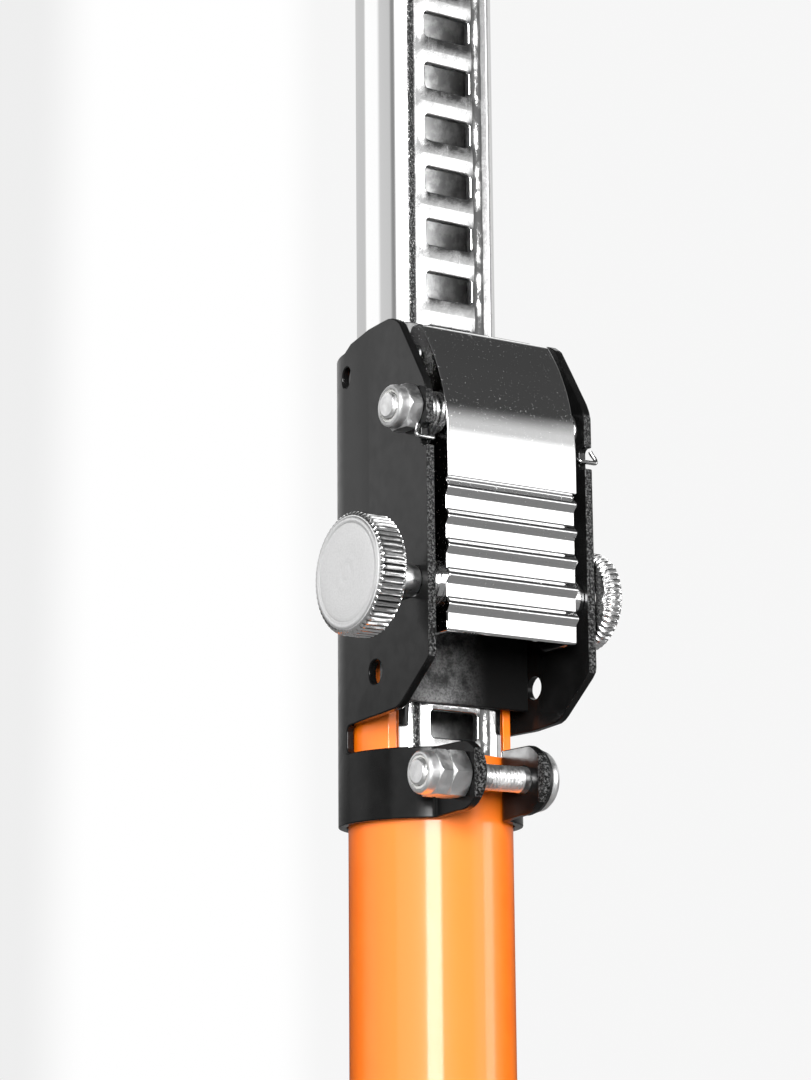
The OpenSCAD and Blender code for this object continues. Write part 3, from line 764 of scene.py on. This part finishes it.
def band_plan():
    """Plan of the clamp band: round the tube, and bent forward into an ear at each end."""
    outer_r = BAND_R + SHEET
    bend = 2.6
    outer, inner, angles = [], [], []
    ears = ((low("clamp_washer").x - SHEET / 2, 1), (high("clamp_nut").x + 0.05 + SHEET / 2, -1))
    for x, sign in ears:
        far = abs(x) + bend
        cy = -sqrt(((BAND_R + outer_r) / 2 + bend) ** 2 - far**2)
        turn = degrees(atan2(-cy, far))
        turns = [radians(turn * i / 8) for i in range(9)]
        for path, r in ((outer, bend - SHEET / 2), (inner, bend + SHEET / 2)):
            curve = [(sign * (far - r * cos(a)), cy + r * sin(a)) for a in turns]
            path.append([(sign * (far - r), -40.0)] + curve)
        angles.append(degrees(atan2(cy, sign * far)) % 360)
    first, last = angles[0] - 360, angles[1]
    outline = outer[0] + wrap_arc(outer_r, first, last)[1:-1] + outer[1][::-1]
    return outline + inner[1] + wrap_arc(BAND_R, first, last)[1:-1][::-1] + inner[0][::-1]


def lock_housing():
    body = prism("z", cheek_plan(BAND_R + SHEET, CHEEK_OUT), -110, 10)
    cut(body, prism("z", cheek_plan(BAND_R, CHEEK_IN), -120, 20))
    combine(body, [prism("x", cheek_side(), -WIDE, WIDE)], "INTERSECT")
    band = prism("z", band_plan(), BAND_BOTTOM, BAND_TOP)
    ear_r, ear_y = 7.9, -18
    ear = [(ear_y, BAND_TOP)] + arc((CLAMP.y, CLAMP.z), ear_r, 82, 278, 28) + [(ear_y, BAND_BOTTOM)]
    combine(band, [prism("x", [(WIDE, BAND_BOTTOM), (WIDE, BAND_TOP)] + ear, -WIDE, WIDE)], "INTERSECT")
    combine(body, [band], "UNION")
    slot_r, slot_travel = BOLT_R + 0.4, 5.5
    slot = arc((SCREW.y, SCREW.z), slot_r, 90, 270, 16)
    slot += arc((SCREW.y + slot_travel, SCREW.z), slot_r, -90, 90, 16)
    notch = [(-40, -34.7), (-31.9, -34.7), (-31.2, -34.0), (-31.2, -30.4), (-31.9, -29.7), (-40, -29.7)]
    low_hole, top_hole = disc(-12.1, -83.1, 2.75), disc(2.5, -11, 2.5)
    bolt_holes = [disc(*yz(at), BOLT_R + 0.1) for at in (PIVOT, CLAMP)]
    for outline in (*bolt_holes, low_hole, top_hole, slot, notch):
        cut(body, prism("x", outline, -WIDE, WIDE))
    clean(body, 0.3)
    piece(body, "housing", "handle", "housing", "lock_housing", 0.28, 2, 30)


def guide_plate():
    cad_piece("guide_plate", "guide", "handle", "guide", 0.25)


# ---- bolts and nuts ----


NUT_ANGLE = 24  # degrees above which an edge of a nut stays sharp
THREAD_ROOT = 2.6


def yz(point):
    return (point.y, point.z)


def hexagon(across_flats):
    """Limits a radius to a hexagon's, with one corner at angle 180."""
    def radius(angle, along, r):
        from_flat = (degrees(angle) % 60) - 30
        return min(r, across_flats / 2 / cos(radians(from_flat)))
    return radius


def hex_bar(x0, x1, flats, centre, bore=0.0, chamfers=(True, True)):
    """A hexagon along X with 30 degree chamfers at its ends, and with a bore where that isn't zero."""
    corner = flats / 2 / cos(radians(30))
    start = flats / 2 * 0.97
    rise = (corner - start) * tan(radians(30))
    steps = 5
    ends = []
    for x, sign, chamfered in ((x0, 1, chamfers[0]), (x1, -1, chamfers[1])):
        parts = [i / steps for i in range(steps + 1)] if chamfered else []
        chamfer = [(x + sign * rise * t, start + (corner - start) * t) for t in parts]
        ends.append(chamfer or [(x, corner)])
    stations = ends[0] + ends[1][::-1]
    if bore:
        stations += [(x1 - 0.01, bore + 0.25), (x1 - 0.3, bore), (x0 + 0.3, bore), (x0 + 0.01, bore + 0.25)]
    return turned("x", centre, stations, 120, hexagon(flats), ring=bool(bore))


def locking_nut(node_name, name, body, centre):
    """A self-locking nut along X: a chamfered hexagon, a rolled collar and the nylon ring inside it."""
    flats, hexagon_length, length = 10.0, 3.6, 6.0
    x1 = high(node_name).x
    collar_start = x1 - hexagon_length
    r, tip = flats / 2 - 0.05, x1 - length
    hexagon_part = hex_bar(collar_start, x1, flats, centre, BOLT_R + 0.02)
    collar = turned("x", centre, [
        (collar_start + 0.4, r), (tip + 1.1, r), (tip + 0.45, r - 0.18), (tip + 0.1, r - 0.55),
        (tip, r - 0.95), (tip + 0.1, r - 1.15), (tip + 0.6, r - 1.2), (collar_start + 0.4, r - 1.2),
    ], 72, ring=True)
    shell = piece(join([hexagon_part, collar]), name, body, "zinc", node_name)
    smooth(shell, NUT_ANGLE)
    nylon = turned("x", centre, [
        (tip + 0.35, r - 1.22), (tip + 0.3, BOLT_R + 0.25), (tip + 0.55, BOLT_R + 0.05),
        (collar_start, BOLT_R + 0.05), (collar_start, r - 1.22),
    ], 64, ring=True)
    piece(nylon, name + "_insert", body, "nylon")


def threaded(x0, x1, centre, r=BOLT_R - 0.02, pitch=1.0, samples=40):
    """A threaded bar along X, with the thread running out in a chamfer at x0."""
    depth, chamfer = 0.58 * pitch, 0.35
    steps = max(2, int((x1 - x0) / (pitch / 8)))
    verts = []
    for i in range(steps + 1):
        x = x0 + (x1 - x0) * i / steps
        limit = r - chamfer + min(chamfer, x - x0)
        for k in range(samples):
            angle = 2 * pi * k / samples
            phase = (x / pitch + angle / (2 * pi)) % 1.0
            groove = min(1.0, max(0.0, abs(2 * phase - 1) * 1.25 - 0.1))
            here = min(limit, r - depth * groove)
            verts.append((x, centre[0] + here * cos(angle), centre[1] + here * sin(angle)))
    return ring_mesh("thread", verts, samples)


def bolt(node_name, name, body, centre, neck, head_start, head):
    """A bolt along X: threaded up to its neck, plain from there, with a head that is made already."""
    thread = threaded(low(node_name).x, neck, centre)
    stations = [(neck - 0.3, THREAD_ROOT), (neck, BOLT_R), (head_start + 0.1, BOLT_R)]
    return piece(join([thread, turned("x", centre, stations, 64), head]), name, body, "zinc", node_name)


def clamp_parts():
    """The bolt that closes the clamp band, with its domed socket head, washer and two nuts."""
    centre = yz(CLAMP)
    head, end = high("clamp_washer").x, high("clamp_bolt").x
    head_r, rim = 7.0, 0.9
    dome = [(head, 6.5), (head + 0.25, 6.95), (head + rim, head_r)]
    for a in (15, 30, 45, 58, 70, 80, 86):
        along, r = sin(radians(a)), cos(radians(a)) ** 0.8
        dome.append((head + rim + (end - head - rim) * along, head_r * r))
    socket = turned("x", centre, dome, 72)
    cut(socket, hex_bar(end - 1.6, end + 2, 4.0, centre, 0.0, (False, False)))
    neck = low("clamp_washer").x - 2 * SHEET + 0.6
    bolt("clamp_bolt", "clamp_screw", "handle", centre, neck, head, socket)

    x0, x1, r = low("clamp_washer").x, high("clamp_washer").x, 7.4
    washer = [
        (x0, r - 0.25), (x0 + 0.25, r), (x1 - 0.25, r), (x1, r - 0.25), (x1, BOLT_R + 0.3),
        (x1 - 0.2, BOLT_R + 0.1), (x0 + 0.2, BOLT_R + 0.1), (x0, BOLT_R + 0.3),
    ]
    piece(turned("x", centre, washer, 72, ring=True), "clamp_ring", "handle", "washer", "clamp_washer")
    nut = hex_bar(low("clamp_nut").x, high("clamp_nut").x, 10.0, centre, BOLT_R + 0.02)
    piece(nut, "clamp_hex_nut", "handle", "zinc", "clamp_nut")
    smooth(nut, NUT_ANGLE)
    locking_nut("clamp_lock_nut", "clamp_self_locking_nut", "handle", centre)


def pivot_parts():
    """The lever's pivot bolt, with a low round head outside the right cheek."""
    centre = yz(PIVOT)
    end = high("pivot_bolt").x
    start = end - 1.2
    stations = [(start, 4.2), (end - 1.0, 4.4), (end - 0.5, 4.4), (end - 0.15, 4.0), (end, 3.3)]
    head = turned("x", centre, stations, 64)
    bolt("pivot_bolt", "pivot_pin", "handle", centre, low("pivot_bolt").x + 12, start, head)
    locking_nut("pivot_nut", "pivot_self_locking_nut", "handle", centre)


def spring_path(side):
    """One torsion spring: hooked over the cheek's edge, coiled on the pivot bolt, and ending in the lever."""
    coil_r, first_angle, turns = 4.4, -62.0, 1.816
    inner_x = LEVER_HALF + 0.08 + SPRING_WIRE / 2
    outer_x = inner_x + turns * (SPRING_WIRE + 0.02)
    y, z = SPRING_HOOK
    leg_y, leg_z = SPRING_LEG
    hook = [
        (24.2, y + 0.8, z + 2.8), (24.35, y + 0.72, z + 2.4), (24.6, y + 0.6, z + 1.9),
        (25.0, y + 0.25, z + 1.1), (25.15, y + 0.05, z + 0.5), (25.1, y - 0.1, z + 0.1),
        (24.9, y - 0.12, z - 0.05), (24.6, y - 0.1, z - 0.1), (outer_x + 0.6, y, z - 0.1),
        (outer_x + 0.2, y + 0.12, z), (outer_x + 0.05, y + 0.4, z + 0.2), (outer_x, y + 0.8, z + 0.4),
    ]
    steps = 88
    coil = []
    for i in range(steps + 1):
        a = radians(first_angle + 360 * turns * i / steps)
        x = outer_x + (inner_x - outer_x) * i / steps
        coil.append((x, PIVOT.y + coil_r * cos(a), PIVOT.z + coil_r * sin(a)))
    leg = [
        (inner_x, leg_y - 0.4, leg_z + 0.3), (inner_x - 0.05, leg_y - 0.12, leg_z + 0.08),
        (inner_x - 0.25, leg_y, leg_z), (inner_x - 0.6, leg_y, leg_z), (inner_x - 3, leg_y, leg_z),
    ]
    return [(side * x, y, z) for x, y, z in hook + coil + leg]


def springs():
    for side, node_name in ((-1, "left_spring"), (1, "right_spring")):
        wire = tube_along(spring_path(side), SPRING_WIRE / 2, 14)
        wire.name = node_name + "_wire"
        smooth(wire, 60)
        wire.data.materials.append(MATERIALS["spring"])
        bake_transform(wire)
        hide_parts(node_name)


# ---- latch lever ----

FACE_Y = -33.2
UPPER_FACE_Y = -34.3
BEADS = (-43.9, -50.5, -57.2, -63.9, -70.5)
LEVER_BOTTOM = -76.4
LEVER_SHEET = 1.6


def lever_side(inset):
    """Side outline of the lever; with an inset, the hollow inside its sheet."""
    bend_r, bend_z, angle = 46.8, -33.0, 38.1
    bottom = LEVER_BOTTOM
    if inset:
        front = [(FACE_Y + inset, bottom - 5), (FACE_Y + inset, -42.9), (UPPER_FACE_Y + inset, -42.0),
                 (UPPER_FACE_Y + inset, bend_z)]
    else:
        bead_height, bead_half, step_z, step_half = 1.1, 1.9, -41.98, 0.75
        front = [(FACE_Y + 0.5, bottom), (FACE_Y + 0.15, bottom + 0.15), (FACE_Y, bottom + 0.5)]
        for z in reversed(BEADS):
            for i in range(17):
                u = i / 8 - 1
                bulge = (0.5 + 0.5 * cos(pi * u)) ** 0.85
                front.append((FACE_Y - bead_height * bulge, z + bead_half * u))
        for u in (0, 0.2, 0.4, 0.6, 0.8, 1):
            rise = (FACE_Y - UPPER_FACE_Y) * (0.5 - 0.5 * cos(pi * u))
            front.append((FACE_Y - rise, step_z + step_half * u))
        front.append((UPPER_FACE_Y, bend_z))
    top = arc((UPPER_FACE_Y + bend_r, bend_z), bend_r - inset, 180, 180 - angle, 28)[1:]
    if inset:
        return front + top + [(-10, 0), (-10, bottom - 5)]
    lip = [(-23.9, -3.9), (-22.9, -3.55), (-22, -3.4), (-20.6, -3.5), (-19.95, -3.8), (-19.5, -4.5)]
    back = [(-19.3, -5.4), (-19.3, -60), (-20, -73), (-20.3, -74.6), (-20.8, -75.4), (-21.6, -76.1)]
    return front + top + lip + back + [(-22.5, bottom)]


def latch_lever():
    """A channel of sheet with a curved top and five beads; behind its lowest beads it is open."""
    inside = LEVER_HALF - LEVER_SHEET
    lever = prism("x", lever_side(0), -LEVER_HALF, LEVER_HALF)
    cut(lever, prism("x", lever_side(LEVER_SHEET), -inside, inside))
    y, top = FACE_Y + LEVER_SHEET, -66.4
    cut(lever, prism("x", [(y, -90), (y, top), (-5, top), (-5, -90)], -inside, inside))
    bolt_holes = [disc(*yz(PIVOT), BOLT_R + 0.06), disc(*yz(SCREW), BOLT_R + 0.1)]
    spring_hole, top_hole = disc(*SPRING_LEG, 0.8, 24), disc(-21.6, -10.5, 1.5, 32)
    for outline in (*bolt_holes, spring_hole, top_hole):
        cut(lever, prism("x", outline, -WIDE, WIDE))
    clean(lever, 0.3)
    piece(lever, "lever", "latch", "lever", "latch_lever", 0.35, 3, 40)


def pawl():
    cad_piece("pawl", "latch_pawl", "latch", "pawl", 0.2)
    # painted shade: the rivet heads take the dark ring steel, as they sit in the shade of the gap by the
    # lever
    cad_piece("pawl_rivets", "pawl_rivet_heads", "latch", "ring", 0.15)


# ---- lock screw ----

RIDGE_TOP = 0.28  # share of a ridge that stays flat

def knurled(x0, x1, r, teeth, shoulder, inner_shoulder, depth):
    """A disc along X with straight ridges that fade out in its round shoulders."""
    points_per_tooth, steps = 8, 10
    quarter = [(1 - sin(radians(a)), 1 - cos(radians(a))) for a in range(0, 91, 15)]
    outer = [(x0 + shoulder * s, r - shoulder * c) for s, c in reversed(quarter)]
    inner = [(x1 - inner_shoulder * s, r - inner_shoulder * c) for s, c in quarter]
    start, end = x0 + shoulder, x1 - inner_shoulder
    stations = outer + [(start + (end - start) * i / steps, r) for i in range(1, steps)] + inner

    def radius(angle, along, here):
        turn = angle / (2 * pi) * teeth
        number = floor(turn + 1e-6)
        phase = turn - number
        # grooves differ a little in width
        wide = 0.1 * sin(number * 5.1) + 0.08 * sin(along * 1.3 + number * 2.4)
        groove = depth * max(0.0, abs(2 * phase - 1) * (1.05 + wide) - RIDGE_TOP) / (1.05 - RIDGE_TOP)
        outside = min(1.0, max(0.0, along - x0 - 0.1 * min(shoulder, 1.3)) * 3.0)
        inside = min(1.0, max(0.0, (x1 - along) / inner_shoulder - 0.05) * 2.2)
        return here - groove * outside * inside

    return turned("x", yz(SCREW), stations, teeth * points_per_tooth, radius)


def lock_screw():
    """The large knurled knob with its face and tapered hub, the plain shank, and a thread at its right."""
    centre = yz(SCREW)
    x0, tip, neck = low("lock_screw").x, high("lock_screw").x, 12.0
    knob_in, hub_in = -34.0, -23.3
    r = half_height("lock_screw")
    knob = knurled(x0 + 0.25, knob_in, r, 60, 1.3, 0.5, 0.75)
    shank = turned("x", centre, [(knob_in - 0.3, BOLT_R), (neck, BOLT_R), (neck + 0.3, THREAD_ROOT)], 72)
    thread = threaded(-tip, 0.1 - neck, centre, BOLT_R - 0.03)
    for vertex in thread.data.vertices:
        vertex.co.x = -vertex.co.x
    join([knob, shank, recalculate(thread)])
    piece(knob, "lock_knob", "lock_screw", "knurl", "lock_screw")
    smooth(knob, 38)
    hub = turned("x", centre, [
        (knob_in - 0.2, 5.1), (knob_in + 0.2, 5.1), (knob_in + 0.7, 5.0), (knob_in + 5.0, 4.4),
        (hub_in - 0.2, 3.6), (hub_in, 3.5),
    ], 72)
    piece(hub, "lock_hub", "lock_screw", "hub")
    rim = r - 1.2
    face = turned("x", centre, [(x0 + depth, r) for depth, r in (
        (1.0, rim), (0.3, rim), (0.08, rim - 0.3), (0, rim - 0.7), (0.02, rim - 1.1), (0.12, rim - 1.4),
        (0.18, rim - 1.6), (0.14, rim - 1.8), (0.1, rim - 2.4), (0.04, 5.2), (0.07, 4.6), (0.03, 4.0),
        (0.05, 2.4), (0.09, 2.0), (0.05, 1.5), (0.05, 0.2),
    )], 96)
    piece(face, "lock_knob_face", "lock_screw", "face")


def lock_nut():
    """The knurled nut, with a plain boss between it and the right cheek."""
    centre = yz(SCREW)
    x0, x1, boss_r = low("lock_nut").x, CHEEK_OUT + 0.6, 6.0
    nut = knurled(CHEEK_OUT + 0.3, high("lock_nut").x, half_height("lock_nut"), 48, 2.6, 0.5, 0.7)
    cut(nut, turned("x", centre, [(20, BOLT_R + 0.03), (40, BOLT_R + 0.03)], 48))
    profile = [(x0, boss_r - 0.2), (x0 + 0.2, boss_r), (x1, boss_r), (x1, BOLT_R + 0.1), (x0, BOLT_R + 0.1)]
    join([nut, turned("x", centre, profile, 64, ring=True)])
    piece(nut, "knurled_nut", "lock_nut", "nut_knurl", "lock_nut")
    smooth(nut, 38)


def lock_spacers():
    cad_piece("lock_spacers", "spacer_washers", "latch", "bright", 0.12)
    cad_piece("retaining_ring", "screw_ring", "retaining_ring", "ring", 0.1)


# ---- sliding pole ----


def pole_outline(inset):
    """D section of the pole with a sunk strip in its flat, anticlockwise."""
    corner_r, strip_depth, step_width = 2.5, 0.7, 2.4
    cy = POLE_FLAT + corner_r
    cx = sqrt((POLE_R - corner_r) ** 2 - cy * cy)
    start = degrees(atan2(cy, cx))
    flat = POLE_FLAT + inset
    dip = [(u, flat + strip_depth * (0.5 - 0.5 * cos(pi * u))) for u in (0, 0.2, 0.4, 0.6, 0.8, 1)]
    points = arc((0, 0), POLE_R - inset, start, 180 - start, 120)
    points += arc((-cx, cy), corner_r - inset, 180 - start, 270, 8)[1:]
    points += [(-11.9 + step_width * u, y) for u, y in dip]
    points += [(9.6 - step_width * u, y) for u, y in reversed(dip)]
    points += arc((cx, cy), corner_r - inset, 270, 360 + start, 8)[:-1]
    return points


def inner_pole():
    outer, inner = pole_outline(0), pole_outline(POLE_WALL)
    loops = ((outer, POLE_BOTTOM), (outer, POLE_TOP), (inner, POLE_TOP), (inner, POLE_BOTTOM))
    pole = ring_mesh("pole", [(x, y, z) for outline, z in loops for x, y in outline], len(outer), ring=True)
    slots = []
    for i in range(SLOT_COUNT):
        top = SLOT_TOP - i * SLOT_PITCH
        outline = rounded_box(-SLOT_HALF, top - SLOT_H, SLOT_HALF, top, SLOT_CORNER, 5)
        slots.append(prism("y", outline, -15, -5))
    cut(pole, *slots)
    head_hole_z = 178
    cut(pole, turned("x", (0, head_hole_z), [(-WIDE, BOLT_R + 0.1), (WIDE, BOLT_R + 0.1)], 48))
    clean(pole, 0.05)
    piece(pole, "pole", "pole", "pole", "inner_pole", 0.3, 3, 40)


def saw_head():
    """The socket on the pole's end with its cross bolt, the blade and its bolts, and the pole's foot bush."""
    cad_piece("slider_bush", "foot_bush", "pole", "bush", 0.3)
    cad_piece("head_socket", "saw_socket", "pole", "casting", 0.5, 3)
    centre = (middle("head_nut").y, middle("head_nut").z - LOCK)
    end, thread_length, head_height = high("head_bolt").x, 12.0, 4
    head = hex_bar(end - head_height, end, 10.0, centre, 0.0, (False, True))
    neck = low("head_bolt").x + thread_length
    cross_bolt = bolt("head_bolt", "socket_bolt", "pole", centre, neck, end - head_height, head)
    smooth(cross_bolt, NUT_ANGLE)
    locking_nut("head_nut", "socket_nut", "pole", centre)
    cad_piece("saw_blade", "blade", "pole", "blade", 0.25, 2, 40)
    cad_piece("blade_bolts", "blade_screws", "pole", "zinc", 0.3)
    cad_piece("blade_washers", "blade_rings", "pole", "zinc", 0.2)
    cad_piece("blade_nuts", "blade_hex_nuts", "pole", "zinc", 0.3)


# ---- studio ----

CAMERA_AT = Vector((-382.39, -552.42, 659.13)) * MM
CAMERA_AZIMUTH = -34.24
CAMERA_PITCH = -12.01
CAMERA_ROLL = -0.469


CAMERA_SENSOR = 36.0
CAMERA_LENS = 97.295


def camera():
    data = bpy.data.cameras.new("camera")
    data.sensor_width = CAMERA_SENSOR
    data.sensor_fit = "AUTO"
    data.lens = CAMERA_LENS
    data.clip_start = 0.01
    obj = add_object("camera", data)
    matrix = Matrix.Translation(CAMERA_AT)
    for angle, axis in ((CAMERA_AZIMUTH, "Z"), (90 - CAMERA_PITCH, "X"), (CAMERA_ROLL, "Z")):
        matrix = matrix @ Matrix.Rotation(radians(angle), 4, axis)
    obj.matrix_world = matrix
    bpy.context.scene.camera = obj


def paper_floor():
    ground = turned("z", (0, 0), [(-2, 14000), (0, 14000)], 96, base=0.0)
    ground.name = "floor"
    material, tree, shader = new_material("floor_paper", Roughness=0.9)
    cloud = levels(tree, speckle(tree, 60.0), 0.3, 0.7)
    feed(shader, Base_Color=mix_colour(tree, cloud, 0.26, 0.29))
    ground.data.materials.append(material)


# Brightness round the object, by the angle to the right of the direction towards the camera.
STUDIO = (
    (-180, 0.6), (-121, 0.6), (-117, 1.1), (-86, 1.1), (-80, 0.66), (-60, 0.62), (-57, 0.28), (-52, 0.28),
    (-48, 1.6), (-14, 1.6), (-9, 4.0), (-6, 27.0), (11, 27.0), (15, 0.2), (56, 0.12), (63, 1.3), (76, 2.0),
    (79, 7.0), (91, 7.0), (96, 1.6), (101, 0.5), (118, 0.4), (135, 0.72), (180, 0.75),
)
CEILING = 0.055
BACKDROP = 0.925


def by_angle(tree, angle, start, end, low_value=0.0, high_value=1.0):
    """Levels of an angle, between two angles in degrees."""
    return levels(tree, angle, radians(start), radians(end), low_value, high_value)


def by_height(tree, height, start, end, low_value=0.0, high_value=1.0):
    """Levels of a direction's height, between two angles above the horizon in degrees."""
    start, end = (sin(radians(a)) for a in (start, end))
    return levels(tree, height, start, end, low_value, high_value)


def studio():
    """World light: tall soft boxes all round, dark above, and a plain pale backdrop for the camera."""
    world = bpy.data.worlds.new("studio")
    bpy.context.scene.world = world
    world.use_nodes = True
    tree = world.node_tree
    to_camera = node(
        tree, "VectorRotate",
        {"Vector": node(tree, "TexCoord").outputs["Generated"], "Angle": radians(90 - CAMERA_AZIMUTH)},
        rotation_type="Z_AXIS",
    ).outputs[0]
    ahead, aside, height = node(tree, "SeparateXYZ", {0: to_camera}).outputs
    angle = math_node(tree, "ARCTAN2", aside, ahead)

    ramp = node(tree, "ValToRGB", {"Fac": levels(tree, angle, -pi, pi, 0.0, 1.0, "LINEAR")})
    elements = ramp.color_ramp.elements
    brightest = max(value for _, value in STUDIO)
    for index, (at, value) in enumerate(STUDIO):
        place_on_ramp = (at + 180) / 360
        element = elements[index] if index < 2 else elements.new(place_on_ramp)
        element.position = place_on_ramp
        element.color = grey(value / brightest)

    # the walls behind the object are darker low down, and the one on its right is dimmer high up
    behind = plus(tree, by_angle(tree, angle, -96, -118), by_angle(tree, angle, 100, 118))
    low_wall = by_height(tree, height, 4.8, 8.8, 0.9, 0.0)
    right = times(tree, by_angle(tree, angle, 52, 60), by_angle(tree, angle, 98, 90))
    high_wall = by_height(tree, height, 14.8, 21, 0.0, 0.64)
    dimming = plus(tree, times(tree, behind, low_wall), times(tree, right, high_wall))
    below_ceiling = by_height(tree, height, 22, 32, 1.0, 0.001)
    strength = times(tree, minus(tree, 1.0, dimming), brightest, below_ceiling)
    boxes = node(tree, "Background", {"Color": ramp.outputs[0], "Strength": strength})

    # one bright panel hangs high up behind the object; the rest of the ceiling is nearly dark
    far_back = by_angle(tree, math_node(tree, "ABSOLUTE", angle), 138, 152, 0.0, 1.3)
    panel = times(tree, far_back, by_height(tree, height, 30, 37))
    dark = minus(tree, CEILING, times(tree, below_ceiling, CEILING))
    ceiling = node(tree, "Background", {"Color": grey(1.0), "Strength": plus(tree, dark, panel)})
    light = node(tree, "AddShader", {0: boxes.outputs[0], 1: ceiling.outputs[0]})

    # the backdrop that the camera sees is brightest in a band left of the middle
    away = node(tree, "VectorMath", {0: to_camera, 1: (-1, -1, 1)}, operation="MULTIPLY").outputs[0]
    back_ahead, back_aside, _ = node(tree, "SeparateXYZ", {0: away}).outputs
    to_left = math_node(tree, "ARCTAN2", back_aside, back_ahead)
    band = by_angle(tree, to_left, 1.6, 2.6, BACKDROP, 1.0)
    white = times(tree, band, by_angle(tree, to_left, 6.2, 7.6, 1.0, 0.86))
    backdrop = node(tree, "Background", {"Color": grey(1.0), "Strength": white})
    seen = node(tree, "LightPath").outputs["Is Camera Ray"]
    chosen = node(tree, "MixShader", {0: seen, 1: light.outputs[0], 2: backdrop.outputs[0]})
    tree.links.new(chosen.outputs[0], tree.nodes["World Output"].inputs["Surface"])
    bpy.context.scene.view_settings.view_transform = "Standard"


camera()
paper_floor()
studio()

outer_tube()
hand_grip()
butt_cap()
lock_housing()
guide_plate()
clamp_parts()
pivot_parts()
springs()
latch_lever()
pawl()
lock_spacers()
lock_nut()
lock_screw()
inner_pole()
saw_head()
